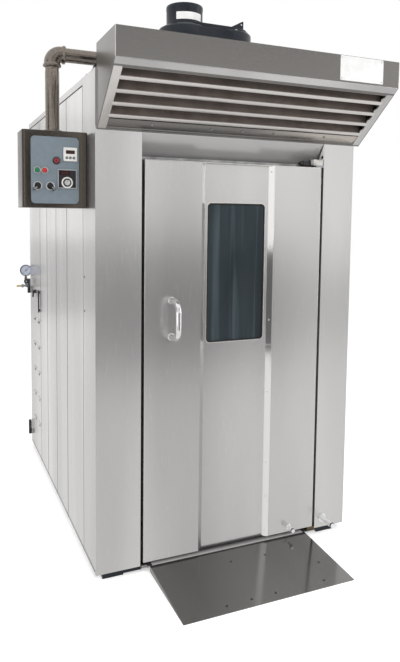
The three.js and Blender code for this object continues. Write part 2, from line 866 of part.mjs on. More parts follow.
// A wheel of straight vanes on a disc, with its axis along Z and the disc at z = 0.
function vanedWheel(radius, depth, hub, blades) {
  const parts = [bar(radius, sheet, "z", [0, 0, 0]), bar(hub * 2, depth / 2, "z", [0, 0, 0])];
  for (let i = 0; i < blades; i += 1) {
    const vane = block([radius / 2, radius - 1], [-sheet / 2, sheet / 2], [sheet / 2, depth]);
    parts.push(vane.rotateZ((i / blades) * 2 * Math.PI));
  }
  return parts;
}

// Exhaust blower: casing with a round outlet, vaned wheel, and a motor that hangs in the hood.
function addBlower(cabinet) {
  const foot = hoodTop + seat;
  const shoulder = foot + shoulderHeight;
  const top = foot + casingHeight;
  const body = (radius, from, to) => pushed(capsule(spigotX, voluteX, blowerY, radius), "z", from, to);
  const lugRight = voluteX + shoulderRadius / 2;
  const lugY = blowerY - shoulderRadius + lugSetback;
  const lug = [
    [lugRight - lugWidth, top - sheet],
    [lugRight, top - sheet],
    [lugRight, top + lugHeight],
    [lugRight - sheet, top + lugHeight],
  ];
  const housing = cut(
    join(
      body(voluteRadius, foot, shoulder),
      body(shoulderRadius, shoulder - 1, top),
      bar(spigotRadius, spigotTop - top + 1, "z", [spigotX, blowerY, top - 1]),
      pushed(lug, "y", lugY - sheet, lugY + sheet),
    ),
    body(voluteRadius - sheet, foot + sheet, shoulder - sheet),
    body(shoulderRadius - sheet, foot + sheet, top - sheet),
    bar(spigotRadius - sheet, spigotTop, "z", [spigotX, blowerY, top - 2 * sheet]),
    bar(blowerInlet, 4 * sheet, "z", [voluteX, blowerY, foot - sheet]),
    bar(lugHole, 4 * sheet, "y", [lugRight - plate, lugY - 2 * sheet, top + lugHeight / 2]),
  );
  place(cabinet, "blower_housing", housing, blackPaint);

  const motorTop = hoodTop - sheet - seat;
  const armLength = blowerInlet + 2 * plate;
  const motor = cut(
    join(
      bar(blowerMotorRadius, blowerMotorHeight, "z", [0, 0, -blowerMotorHeight]),
      block([-armLength, armLength], [-plate, plate], [-sheet, 0]),
      block([-plate, plate], [-armLength, armLength], [-sheet, 0]),
    ),
    bore(blowerShaft, blowerBore + 1, "z", [0, 0, -blowerBore]),
  );
  place(cabinet, "blower_motor", motor, blackPaint, [voluteX, blowerY, motorTop]);

  const wheelFoot = foot + 2 * sheet;
  const shaftLength = wheelFoot - motorTop + blowerBore - 1;
  const wheel = join(
    ...vanedWheel(blowerWheel, shoulderHeight - 3 * sheet, blowerShaft, blowerVanes),
    bar(blowerShaft, shaftLength + 1, "z", [0, 0, -shaftLength]),
  );
  place(cabinet, "blower_impeller", wheel, zinc, [voluteX, blowerY, wheelFoot]);
}

// Pendant: upright pipe, elbow, and the level pipe that turns down to a flange on the roof.
function addPendant(cabinet) {
  const pendant = groupAt(cabinet, pipeX, pipeY, pipeLevel);
  const bore = pipeRadius - pipeWall;
  const boxTop = boxFoot + boxHeight - pipeLevel;
  const pipeTop = socketDepth - elbowReach;
  const upright = cut(
    bar(pipeRadius, pipeTop - boxTop - 2 * seat, "z", [0, 0, boxTop + seat]),
    bar(bore, pipeTop - boxTop, "z", [0, 0, boxTop]),
  );
  place(pendant, "pendant_pipe_upright", upright, hammered);

  const v = (x, z) => new THREE.Vector3(x, 0, z);
  const path = new THREE.CurvePath();
  path.add(new THREE.LineCurve3(v(0, -elbowReach), v(0, -dropBend)));
  path.add(new THREE.QuadraticBezierCurve3(v(0, -dropBend), v(0, 0), v(dropBend, 0)));
  path.add(new THREE.LineCurve3(v(dropBend, 0), v(elbowReach, 0)));
  const elbow = cut(
    join(
      tube(path, elbowRadius, 0, 12, 16),
      bar(collarRadius, collarWidth, "z", [0, 0, -elbowReach]),
      bar(collarRadius, collarWidth, "x", [elbowReach - collarWidth, 0, 0]),
    ),
    bar(pipeRadius + seat, socketDepth + 1, "z", [0, 0, -elbowReach - 1]),
    bar(pipeRadius + seat, socketDepth + 1, "x", [elbowReach - socketDepth, 0, 0]),
  );
  place(pendant, "pendant_elbow", elbow, hammered);

  const roof = bodyTop - pipeLevel + seat;
  const start = elbowReach - socketDepth + seat;
  const levelPath = new THREE.CurvePath();
  levelPath.add(new THREE.LineCurve3(v(start, 0), v(pipeRun - dropBend, 0)));
  levelPath.add(
    new THREE.QuadraticBezierCurve3(v(pipeRun - dropBend, 0), v(pipeRun, 0), v(pipeRun, -dropBend)),
  );
  levelPath.add(new THREE.LineCurve3(v(pipeRun, -dropBend), v(pipeRun, roof)));
  const level = join(
    tube(levelPath, pipeRadius, bore, 12, 16),
    cut(
      bar(roofFlange, plate, "z", [pipeRun, 0, roof]),
      bar(bore, 2 * plate, "z", [pipeRun, 0, roof - 1]),
    ),
  );
  place(pendant, "pendant_pipe_level", level, hammered);
}

// Control box with its panel. Y runs back from the box's front face.
function addControls(cabinet) {
  const box = groupAt(cabinet, boxLeft, boxFront, boxFoot);
  const outer = roundedPlan(boxWidth, boxDepth, boxCorner, 0);
  const hollow = roundedPlan(boxWidth, boxDepth, boxCorner, sheet);
  const opening = roundedShape(panelLeft, panelFoot, panelWidth, panelHeight, panelCorner);
  const shell = cut(
    pushed(outer, "z", 0, boxHeight),
    pushed(hollow, "z", sheet, boxHeight - sheet),
    pushed(opening, "y", -1, boxCorner),
  );
  place(box, "control_box", shell, hammered);

  const panelShape = roundedShape(
    panelLeft + seat,
    panelFoot + seat,
    panelWidth - 2 * seat,
    panelHeight - 2 * seat,
    panelCorner - seat,
  );
  const holes = [];
  const bodyOf = (from, size) => [from + bezel, from + size - bezel];
  for (const [x, z, size] of [
    [timerLeft, timerFoot, timerSize],
    [controllerLeft, controllerFoot, controllerSize],
  ]) {
    holes.push(
      block(
        bodyOf(x - seat, size + 2 * seat),
        [-1, 2 * panelSheet],
        bodyOf(z - seat, size + 2 * seat),
      ),
    );
  }
  const stem = buttonRadius / 2;
  const roundHoles = [
    [lampLeft, lampHeight],
    [greenLeft, buttonHeight],
    [redLeft, buttonHeight],
    ...selectorLefts.map((x) => [x, selectorHeight]),
  ];
  for (const [x, z] of roundHoles) {
    holes.push(bore(stem, 2 * panelSheet, "y", [x, -1, z]));
  }
  place(box, "control_panel", cut(pushed(panelShape, "y", 0, panelSheet), ...holes), membrane);

  // Timer and temperature controller: a bezel on the panel and a body behind it.
  const face = -bezel - seat;
  const instrument = (size) =>
    join(
      block([0, size], [face, -seat], [0, size]),
      block(bodyOf(0, size), [-1, instrumentDepth], bodyOf(0, size)),
    );
  const keyRow = [1, 2, 3];
  const keyX = (n) => timerSize / 2 + (n - 2) * keyPitch;
  const keyZ = timerSize / 4;
  const keyHoles = keyRow.map((n) => bore(keyRadius, bezel, "y", [keyX(n), face - 1, keyZ]));
  place(box, "timer", cut(instrument(timerSize), ...keyHoles), whitePlastic, [timerLeft, 0, timerFoot]);
  for (const n of keyRow) {
    const key = bar(keyRadius, keyProud + bezel / 2, "y", [0, -keyProud, 0]);
    place(box, "timer_key_" + n, key, blackPlastic, [timerLeft + keyX(n), face, timerFoot + keyZ]);
  }
  const dialPlace = [dialLeft - controllerLeft, face - 1, dialHeight - controllerFoot];
  const dialBore = bore(stem / 2, bezel, "y", dialPlace);
  const controller = cut(instrument(controllerSize), dialBore);
  place(box, "temperature_controller", controller, blackPlastic, [controllerLeft, 0, controllerFoot]);
  const dial = join(
    bar(dialRadius, plate, "y", [0, -plate - seat, 0]),
    bar(stem / 2, plate + bezel / 2, "y", [0, -plate, 0]),
  );
  place(box, "controller_dial", dial, whitePlastic, [dialLeft, face, dialHeight]);

  const lamp = join(
    bar(lampRadius, buttonProud, "y", [0, -buttonProud - seat, 0]),
    bar(stem, 3 * plate, "y", [0, -seat - 1, 0]),
  );
  place(box, "alarm_lamp", lamp, redPlastic, [lampLeft, 0, lampHeight]);
  const button = () =>
    join(
      bar(buttonRadius, buttonProud, "y", [0, -buttonProud - buttonTravel - 2 * seat, 0]),
      bar(stem, 3 * plate, "y", [0, -buttonProud, 0]),
    );
  place(box, "green_button", button(), greenPlastic, [greenLeft, 0, buttonHeight]);
  place(box, "red_button", button(), redPlastic, [redLeft, 0, buttonHeight]);

  // Two-position selectors: a round base with a lever across it, turned to its rest place.
  selectorLefts.forEach((x, index) => {
    const lever = join(
      bar(selectorRadius, sheet, "y", [0, -sheet - seat, 0]),
      block([-leverWidth / 2, leverWidth / 2], [-leverProud, -sheet], [-leverReach, selectorRadius]),
      bar(stem, 3 * plate, "y", [0, -seat - 1, 0]),
    );
    const [side, lean] = [["left", Math.PI / 4], ["right", -Math.PI / 4]][index];
    place(box, side + "_selector", lever.rotateY(lean), blackPlastic, [x, 0, selectorHeight]);
  });
}

// The box's plan: round front corners and square back ones.
function roundedPlan(width, depth, radius, inset) {
  const r = radius - inset;
  const shape = new THREE.Shape();
  shape.moveTo(inset, depth - inset);
  shape.lineTo(inset, radius);
  shape.absarc(radius, radius, r, Math.PI, Math.PI * 1.5);
  shape.lineTo(width - radius, inset);
  shape.absarc(width - radius, radius, r, Math.PI * 1.5, Math.PI * 2);
  shape.lineTo(width - inset, depth - inset);
  return shape;
}

// Vented service door on the left side, hinged at its rear edge, with a turning latch.
function addServiceDoor(cabinet) {
  const front = serviceSeam + seat;
  const back = bodyDepth - serviceStile - seat;
  const door = groupAt(cabinet, left, front, 0);
  const length = back - front;
  const c = seamChamfer;
  const outline = [
    [0, c],
    [c, 0],
    [panelFlange, 0],
    [panelFlange, sheet],
    [sheet, sheet],
    [sheet, length - sheet],
    [panelFlange, length - sheet],
    [panelFlange, length],
    [0, length],
  ];
  const around = (middle, size) => [middle - size / 2, middle + size / 2];
  const vents = ventRows.flatMap((z) =>
    ventColumns.map((y) => block([-1, sheet + 1], around(y, ventLength), around(z, ventHeight))),
  );
  const latchHole = bore(latchShaft, 3 * sheet, "x", [-sheet, latchColumn, latchHeight]);
  const half = knuckleHeight / 2;
  const pivot = [-servicePivotOut, hingeY - front];
  const knuckles = hingeFeet.flatMap((foot) => {
    const from = foot + half + seat;
    const upright = [from, foot + knuckleHeight];
    return [
      bar(knuckleRadius, half - seat, "z", [...pivot, from]),
      block([-knuckleRadius, -seat], [length - 4 * plate, pivot[1]], upright),
      block([-1, sheet / 2], [length - 4 * plate, length - sheet], upright),
    ];
  });
  const bores = hingeFeet.map((foot) =>
    bar(knuckleRadius / 2 + seat, knuckleHeight, "z", [...pivot, foot + half - 1]),
  );
  const leaf = cut(
    join(pushed(outline.reverse(), "z", bodyFoot, panelTop), ...knuckles),
    ...bores,
    ...vents,
    latchHole,
  );
  place(door, "service_door", leaf, brushed);
  const latch = join(
    bar(2 * latchShaft, plate, "x", [-plate - seat, 0, 0]),
    bar(latchShaft, plate + 4 * sheet, "x", [-plate, 0, 0]),
    block([-2 * plate, -plate / 2], [-latchShaft, latchShaft], [-latchLength, latchShaft]),
  );
  place(door, "service_latch", latch.rotateX(Math.PI / 6), blackPlastic, [0, latchColumn, latchHeight]);
}

// Water inlet at the back corner: pipe, gauge cock and pressure gauge.
function addWaterInlet(cabinet) {
  const inlet = groupAt(cabinet, 0, bodyDepth + waterSetback, waterHeight);
  const gaugeFoot = knobRise + waterPipe + sheet;
  const bossFront = -2 * waterPipe;
  const manifold = cut(
    join(
      bar(waterPipe, waterRight - gaugeX + 4 * plate, "x", [gaugeX - 4 * plate, 0, 0]),
      bar(nippleRadius, gaugeX - waterLeft, "x", [waterLeft, 0, 0]),
      bar(waterPipe, waterSetback - seat, "y", [waterRight - waterPipe, seat - waterSetback, 0]),
      bar(2 * waterPipe, sheet, "y", [waterRight - waterPipe, seat - waterSetback, 0]),
      bar(nippleRadius, gaugeFoot, "z", [gaugeX, 0, 0]),
      bar(waterPipe, -bossFront, "y", [gaugeX, bossFront, knobRise]),
    ),
    bore(valveStem, 2 * plate, "y", [gaugeX, bossFront - 1, knobRise]),
  );
  place(inlet, "steam_manifold", manifold, brass);
  const knob = join(
    bar(knobRadius, plate, "y", [0, -plate - seat, 0]),
    bar(valveStem, 2 * plate, "y", [0, -1 - seat, 0]),
  );
  place(inlet, "valve_knob", knob, zinc, [gaugeX, bossFront, knobRise]);

  // Gauge: a round case with a shallow dial, the needle on a stub in its middle.
  const middle = -gaugeDepth / 2;
  const dialFace = middle + gaugeDial;
  const gauge = join(
    cut(
      bar(gaugeRadius, gaugeDepth, "y", [0, middle, 0]),
      bar(gaugeRadius - sheet, gaugeDial + 1, "y", [0, middle - 1, 0]),
    ),
    bar(needleStub, gaugeDial / 2 + 1, "y", [0, dialFace - gaugeDial / 2, 0]),
    bar(waterPipe, gaugeNeck + plate, "z", [0, 0, seat - gaugeRadius - gaugeNeck]),
  );
  const gaugeZ = gaugeFoot + gaugeNeck + gaugeRadius;
  place(inlet, "pressure_gauge", gauge, chrome, [gaugeX, 0, gaugeZ]);
  const needle = cut(
    join(
      bar(2 * needleStub, needleThick, "y", [0, 0, 0]),
      block([-needleWidth / 2, needleWidth / 2], [0, needleThick], [-needleTail, needleTip]),
    ),
    bore(needleStub, 4 * needleThick, "y", [0, -needleThick, 0]),
  );
  const needlePlace = [gaugeX, dialFace - needleThick - seat, gaugeZ];
  const zero = THREE.MathUtils.degToRad(-135);
  place(inlet, "gauge_needle", needle.rotateY(zero), blackPlastic, needlePlace);
}

// Rack drive: gear motor on the roof, shaft with a hook bar, and the thrust bearing on the ceiling.
function addRackDrive(cabinet) {
  const drive = groupAt(cabinet, chamberMiddle, rackY, 0);
  const boreDepth = gearboxHeight - 2 * plate;
  const half = gearboxSize / 2;
  const gearMotor = cut(
    join(
      block([-half, half], [-half, half], [0, gearboxHeight]),
      bar(motorRadius, motorLength + 1, "x", [half - 1, 0, gearboxHeight / 2 + plate / 2]),
    ),
    bore(shaftRadius, boreDepth + 1, "z", [0, 0, -1]),
  );
  place(drive, "gear_motor", gearMotor, blackPaint, [0, 0, bodyTop + seat]);

  const bearingFoot = ceiling + sheet + seat;
  const bearing = cut(
    bar(bearingRadius, bearingHeight, "z", [0, 0, 0]),
    bore(shaftRadius, 3 * bearingHeight, "z", [0, 0, -bearingHeight]),
  );
  place(drive, "shaft_bearing", bearing, zinc, [0, 0, bearingFoot]);

  const shaftTop = bodyTop + boreDepth - seat;
  const collarFoot = bearingFoot + bearingHeight + seat;
  const hooks = [-1, 1].map((side) =>
    block(
      [(side * hookSpan) / 2 - hookBar / 4, (side * hookSpan) / 2 + hookBar / 4],
      [-hookBar, hookBar],
      [shaftFoot - hookDrop, shaftFoot + plate],
    ),
  );
  const carrier = join(
    bar(shaftRadius, shaftTop - shaftFoot, "z", [0, 0, shaftFoot]),
    bar(2 * shaftRadius, bearingHeight, "z", [0, 0, collarFoot]),
    block([-hookSpan / 2, hookSpan / 2], [-hookBar / 2, hookBar / 2], [shaftFoot, shaftFoot + plate]),
    ...hooks,
  );
  place(drive, "rack_hook", carrier, zinc);
}

// Air circulation: wheel behind the rear wall, its motor on the bulkhead, and the heater bank below.
function addAirCirculation(cabinet) {
  const wheelBack = chamberBack + sheet + fanStandoff + fanDepth;
  const motorFace = plenumBack + seat;
  const boreDepth = 4 * plate;
  const shaftLength = motorFace + boreDepth - seat - wheelBack;
  const wheel = join(
    ...vanedWheel(fanRadius, fanDepth, fanShaft, fanBlades),
    bar(fanShaft, shaftLength, "z", [0, 0, -shaftLength]),
  ).rotateX(Math.PI / 2);
  place(cabinet, "circulation_fan", wheel, zinc, [chamberMiddle, wheelBack, fanHeight]);
  const motor = cut(
    join(
      bar(fanMotorRadius, fanMotorLength, "y", [0, 0, 0]),
      bar(fanMotorFlange, plate, "y", [0, 0, 0]),
    ),
    bore(fanShaft, boreDepth + 1, "y", [0, -1, 0]),
  );
  place(cabinet, "fan_motor", motor, blackPaint, [chamberMiddle, motorFace, fanHeight]);

  const half = heaterWidth / 2;
  const foot = floorTop + seat;
  const y = chamberBack + heaterSetback;
  const header = [y - heaterDepth / 2, y + heaterDepth / 2];
  const parts = [
    block([-half, half], header, [foot, foot + heaterDepth]),
    block([-half, half], header, [heaterTop - heaterDepth, heaterTop]),
  ];
  for (let i = 0; i < heaterTubes; i += 1) {
    const x = (i / (heaterTubes - 1) - 0.5) * (heaterWidth - 2 * heaterDepth);
    const tubeFoot = [x, y, foot + heaterDepth / 2];
    parts.push(bar(heaterTubeRadius, heaterTop - foot - heaterDepth, "z", tubeFoot));
  }
  place(cabinet, "heater_bank", join(...parts), zinc, [chamberMiddle, 0, 0]);
}

// Ramp: a thin sloping plate on tapered ribs.
function addRamp(cabinet) {
  const end = rampStart - rampReach;
  const top = [
    [rampStart, floorTop],
    [end, rampToe],
    [end, 0],
    [rampStart, floorTop - floorSheet],
  ];
  const rib = [
    [rampStart, floorTop - 1],
    [end + 1, rampToe / 2],
    [end + 1, 0],
    [rampStart, 0],
  ];
  const parts = [pushed(top, "x", rampLeft, rampRight)];
  const pitch = (rampRight - rampLeft - plate) / (rampRibs - 1);
  for (let i = 0; i < rampRibs; i += 1) {
    const from = rampLeft + i * pitch;
    parts.push(pushed(rib, "x", from, from + plate));
  }
  place(cabinet, "ramp", join(...parts), darkBrushed);
}

const oven = new THREE.Group();
const cabinet = groupAt(oven, 0, -bodyDepth / 2, 0);
addBase(cabinet);
addPosts(cabinet);
addHeader(cabinet);
addCladding(cabinet);
addRearCover(cabinet);
addRoof(cabinet);
addChamber(cabinet);
addDoorGasket(cabinet);
addDoor(cabinet);
addDoorFittings(cabinet);
addHood(cabinet);
addBaffle(cabinet);
addBlower(cabinet);
addPendant(cabinet);
addControls(cabinet);
addServiceDoor(cabinet);
addWaterInlet(cabinet);
addRackDrive(cabinet);
addAirCirculation(cabinet);
addRamp(cabinet);

export default oven;
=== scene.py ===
import math
import bmesh
import bpy
from mathutils import Matrix, Vector


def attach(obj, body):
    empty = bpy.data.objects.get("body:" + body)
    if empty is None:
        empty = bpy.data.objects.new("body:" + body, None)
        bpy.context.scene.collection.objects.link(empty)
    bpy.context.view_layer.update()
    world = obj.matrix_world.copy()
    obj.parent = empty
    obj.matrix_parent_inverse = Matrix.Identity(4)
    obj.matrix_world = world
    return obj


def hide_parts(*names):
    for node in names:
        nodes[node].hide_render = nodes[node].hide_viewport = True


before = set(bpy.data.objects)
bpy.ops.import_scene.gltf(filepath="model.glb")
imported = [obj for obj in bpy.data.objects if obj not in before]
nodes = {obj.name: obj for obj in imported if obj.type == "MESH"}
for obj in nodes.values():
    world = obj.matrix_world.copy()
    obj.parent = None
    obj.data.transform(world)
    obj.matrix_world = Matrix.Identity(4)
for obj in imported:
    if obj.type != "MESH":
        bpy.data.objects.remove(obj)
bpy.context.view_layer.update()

scene = bpy.context.scene
mm = 0.001
toRight, toFront, toTop = Vector((1, 0, 0)), Vector((0, -1, 0)), Vector((0, 0, 1))
white = (1, 1, 1, 1)

camera = {
    "place": (-1.3136, -3.4886, 1.6160),
    "yaw": -0.4044,      # radians, negative turns to the right
    "pitch": -0.0786,
    "roll": 0.0107,
    "sensor": 36,
    "lens": 33.85,
    "shift": (0.0105, -0.0973),
}


def addCamera(c):
    data = bpy.data.cameras.new("camera")
    data.sensor_width = c["sensor"]
    data.lens = c["lens"]
    data.shift_x, data.shift_y = c["shift"]
    cam = bpy.data.objects.new("camera", data)
    scene.collection.objects.link(cam)
    yaw, pitch, roll = c["yaw"], c["pitch"], c["roll"]
    ahead = Vector((-math.sin(yaw) * math.cos(pitch), math.cos(yaw) * math.cos(pitch), math.sin(pitch)))
    right = Vector((math.cos(yaw), math.sin(yaw), 0))
    up = right.cross(ahead)
    across = right * math.cos(roll) + up * math.sin(roll)
    top = up * math.cos(roll) - right * math.sin(roll)
    turn = Matrix((across, top, -ahead)).transposed()
    cam.matrix_world = Matrix.Translation(c["place"]) @ turn.to_4x4()
    scene.camera = cam


addCamera(camera)
print("camera placed")

studio = {
    "world": 0.62,
    "floor": (0.86, 0.86, 0.86, 1),
    "floorRoughness": 0.9,
    "floorGlow": 0.45,   # added where the camera sees the floor, so that it is white
    "floorMirror": 0.84, # what the metal sees of the floor
    "floorSize": 40,
    # name: (place, aimed at, width, height, watts)
    "lamps": {
        "left_softbox": ((-4.6, -1.4, 2.6), (-0.6, 0.2, 1.1), 3.2, 3.6, 95),
        "front_softbox": ((1.2, -5.2, 3.6), (0.0, -0.9, 1.0), 3.6, 2.6, 110),
        "top_softbox": ((0.0, -0.4, 5.2), (0.0, 0.0, 1.0), 3.0, 3.0, 60),
        "left_strip": ((-5.2, -2.4, 1.8), (-0.8, -0.8, 1.8), 0.5, 3.4, 34),
        "right_strip": ((4.6, -2.6, 1.7), (0.4, -0.8, 1.5), 0.4, 3.4, 26),
    },
    "seenLamps": ["left_strip", "right_strip"],   # these show in polished and curved metal
    # dark cloths that only the metal and the glass see: (place, aimed at, width, height, gray)
    "cloths": {
        "low_cloth": ((1.05, -4.5, 0.68), (1.05, 0.0, 0.68), 2.9, 1.36, 0.16),
        "low_right_cloth": ((3.5, -4.5, 0.6), (3.5, 0.0, 0.6), 2.0, 0.8, 0.45),
        "high_cloth": ((1.0, -7.2, 4.9), (1.0, 0.0, 4.9), 9.0, 2.2, 0.45),
        "trim_cloth": ((-3.1, -3.97, 0.62), (0.19, -0.9, 0.62), 1.6, 1.24, 0.10),
        "panel_cloth": ((-0.45, -4.5, 2.05), (-0.45, 0.0, 2.05), 0.96, 0.96, 0.04),
        "left_cloth": ((-5.0, -1.6, 2.5), (-0.8, -0.7, 2.2), 2.4, 2.6, 0.12),
        "side_cloth": ((-2.3, 6.2, 0.66), (-0.7, 0.0, 0.66), 1.5, 1.2, 0.42),
        "upper_side_cloth": ((-2.2, 6.4, 2.55), (-0.7, 0.0, 2.0), 2.0, 1.3, 0.66),
        "back_cloth": ((2.2, 6.0, 3.9), (2.2, 0.0, 3.9), 5.4, 1.2, 0.05),
    },
}


# A shader node with its settings, the values of its inputs and the sockets that feed them.
def addNode(tree, kind, values=(), links=(), **settings):
    node = tree.nodes.new("ShaderNode" + kind)
    for key, value in settings.items():
        setattr(node, key, value)
    for socket, value in dict(values).items():
        node.inputs[socket].default_value = value
    for socket, source in dict(links).items():
        tree.links.new(source, node.inputs[socket])
    return node


def newMaterial(name, values):
    mat = bpy.data.materials.new(name)
    mat.use_nodes = True
    for socket, value in values.items():
        mat.node_tree.nodes["Principled BSDF"].inputs[socket].default_value = value
    return mat


# 1 for the camera's rays and for the other kinds listed, 0 for the rest.
def seenRays(tree, kinds):
    path = addNode(tree, "LightPath")
    kept = path.outputs["Is Camera Ray"]
    for kind in kinds:
        kept = addNode(tree, "Math", {}, {0: kept, 1: path.outputs[kind]}, operation="MAXIMUM").outputs[0]
    return kept


def aimed(place, aim, axis):
    return (Vector(aim) - Vector(place)).to_track_quat(axis, "Y").to_euler()


def addWorld(s):
    scene.view_settings.view_transform = "Standard"
    scene.world = bpy.data.worlds.new("studio")
    scene.world.use_nodes = True
    tree = scene.world.node_tree
    tree.nodes.clear()
    lit = addNode(tree, "Background", {"Color": white, "Strength": s["world"]})
    seen = addNode(tree, "Background", {"Color": white, "Strength": 1.0})
    rays = seenRays(tree, ["Is Glossy Ray", "Is Transmission Ray"])
    mix = addNode(tree, "MixShader", {}, {0: rays, 1: lit.outputs[0], 2: seen.outputs[0]})
    addNode(tree, "OutputWorld", {}, {"Surface": mix.outputs[0]})


def addFloor(s):
    bpy.ops.object.select_all(action="DESELECT")
    bpy.ops.mesh.primitive_plane_add(size=s["floorSize"], location=(0, 0, 0))
    floor = bpy.context.object
    floor.name = "floor"
    paint = newMaterial("floor_paint", {"Base Color": s["floor"], "Roughness": s["floorRoughness"],
                                        "Emission Color": white})
    tree = paint.node_tree
    shader = tree.nodes["Principled BSDF"]
    rays = seenRays(tree, ["Is Transmission Ray"])
    glow = addNode(tree, "Math", {1: s["floorGlow"]}, {0: rays}, operation="MULTIPLY")
    tree.links.new(glow.outputs[0], shader.inputs["Emission Strength"])
    plain = addNode(tree, "Emission", {"Strength": s["floorMirror"]})
    glossy = addNode(tree, "LightPath").outputs["Is Glossy Ray"]
    swap = addNode(tree, "MixShader", {}, {0: glossy, 1: shader.outputs[0], 2: plain.outputs[0]})
    tree.links.new(swap.outputs[0], tree.nodes["Material Output"].inputs["Surface"])
    floor.data.materials.append(paint)


def addLamps(s):
    for name, (place, aim, width, height, watts) in s["lamps"].items():
        data = bpy.data.lights.new(name, "AREA")
        data.shape = "RECTANGLE"
        data.size, data.size_y = width, height
        data.energy = watts
        lamp = bpy.data.objects.new(name, data)
        lamp.location = place
        lamp.rotation_euler = aimed(place, aim, "-Z")
        lamp.visible_glossy = name in s["seenLamps"]
        scene.collection.objects.link(lamp)


def addCloths(s):
    for name, (place, aim, width, height, level) in s["cloths"].items():
        bpy.ops.object.select_all(action="DESELECT")
        bpy.ops.mesh.primitive_plane_add(size=1, location=place)
        cloth = bpy.context.object
        cloth.name = name
        cloth.scale = (width, height, 1)
        cloth.rotation_euler = aimed(place, aim, "Z")
        cloth.data.materials.append(newMaterial(name, {
            "Base Color": (0, 0, 0, 1), "Emission Color": (level, level, level, 1), "Emission Strength": 1}))
        cloth.visible_camera = cloth.visible_diffuse = cloth.visible_shadow = False


addWorld(studio)
addFloor(studio)
addLamps(studio)
addCloths(studio)
print("lights and floor placed")


def newFinish(name, color, metallic=0.0, roughness=0.5, coat=0.0, ior=1.45):
    return newMaterial(name, {"Base Color": (*color, 1), "Metallic": metallic, "Roughness": roughness,
                              "Coat Weight": coat, "IOR": ior})


def stretched(mat, stretch):
    coords = addNode(mat.node_tree, "TexCoord")
    return addNode(mat.node_tree, "Mapping", {"Scale": stretch},
                   {"Vector": coords.outputs["Object"]}).outputs["Vector"]


def addPattern(mat, scale, detail, stretch=(1, 1, 1), rough=0.55):
    return addNode(mat.node_tree, "TexNoise", {"Scale": scale, "Detail": detail, "Roughness": rough},
                   {"Vector": stretched(mat, stretch)}).outputs["Fac"]


def addCells(mat, scale):
    return addNode(mat.node_tree, "TexVoronoi", {"Scale": scale}, {"Vector": stretched(mat, (1, 1, 1))},
                   feature="SMOOTH_F1").outputs["Distance"]


# 0 where x is at the start and 1 where it is at the end.
def fadeAlongX(mat, start, end):
    coords = addNode(mat.node_tree, "TexCoord")
    split = addNode(mat.node_tree, "SeparateXYZ", {}, {"Vector": coords.outputs["Object"]})
    return addNode(mat.node_tree, "MapRange", {"From Min": start, "From Max": end},
                   {"Value": split.outputs["X"]}).outputs["Result"]


def ramp(mat, value, *stops):
    node = addNode(mat.node_tree, "ValToRGB", {}, {"Fac": value})
    elements = node.color_ramp.elements
    for end in (0, -1):
        elements[end].position = stops[end][0]
        elements[end].color = (*stops[end][1], 1)
    for place, color in stops[1:-1]:
        elements.new(place).color = (*color, 1)
    return node.outputs["Color"]


def blendColors(mat, first, second, mode="MULTIPLY"):
    return addNode(mat.node_tree, "Mix", {"Factor": 1.0}, {"A": first, "B": second},
                   data_type="RGBA", blend_type=mode).outputs["Result"]


def feed(mat, socket, source):
    mat.node_tree.links.new(source, mat.node_tree.nodes["Principled BSDF"].inputs[socket])


def setRoughness(mat, value, low, high):
    node = addNode(mat.node_tree, "MapRange", {"To Min": low, "To Max": high}, {"Value": value})
    feed(mat, "Roughness", node.outputs["Result"])


def setBump(mat, value, strength, distance):
    node = addNode(mat.node_tree, "Bump", {"Strength": strength, "Distance": distance}, {"Height": value})
    feed(mat, "Normal", node.outputs["Normal"])


def gray(level, warmth=0.0):
    return (level * (1 + warmth), level, level * (1 - warmth))


def times(color, k):
    return [c * k for c in color]


steel = {
    "lines": (1100, 2),                        # scale and detail of the fine lines
    "lineStretch": 0.012,
    "bands": (2.6, 2),
    "bandStretch": {"x": 0.1, "y": 0.1, "z": 0.14},
    "bump": (0.008, 0.0002),
}


# Brushed steel: fine lines along the grain and soft wide bands across it.
def brushedSteel(name, level, grain="z", contrast=0.12, roughness=(0.23, 0.29), warmth=0.014, metallic=0.85):
    mat = newFinish(name, gray(level, warmth), metallic)
    along, band = [tuple(k if axis == grain else 1 for axis in "xyz")
                   for k in (steel["lineStretch"], steel["bandStretch"][grain])]
    lines = addPattern(mat, *steel["lines"], along)
    wide = addPattern(mat, *steel["bands"], band, 0.4)
    fine = ramp(mat, lines, (0.25, gray(1 - contrast * 0.2)), (0.75, gray(1.0)))
    tone = ramp(mat, wide, (0.35, gray(level * (1 - contrast), warmth)),
                (0.65, gray(level * (1 + contrast), warmth)))
    feed(mat, "Base Color", blendColors(mat, tone, fine))
    setRoughness(mat, lines, *roughness)
    setBump(mat, lines, *steel["bump"])
    return mat


# Other surfaces: roughness, metallic, scale and detail of the grain and of the clouds, the clouds' two ends
# (place, how bright), what they take from and add to the roughness, strength and height of the grain.
surfaces = {
    "paint": (0.42, 0.0, (900, 2), (14, 5), ((0.3, 0.8), (0.7, 1.25)), (-0.07, 0.1), (0.05, 0.0004)),
    "plastic": (0.4, 0.0, (700, 2), (40, 3), ((0.3, 0.9), (0.7, 1.0)), (-0.05, 0.06), (0.05, 0.0003)),
    "rubber": (0.6, 0.0, (420, 3), (22, 4), ((0.35, 1.0), (0.75, 2.2)), (-0.1, 0.12), (0.1, 0.0004)),
    "cast": (0.4, 1.0, (260, 4), (25, 4), ((0.3, 0.78), (0.7, 1.0)), (-0.08, 0.1), (0.2, 0.0006)),
}


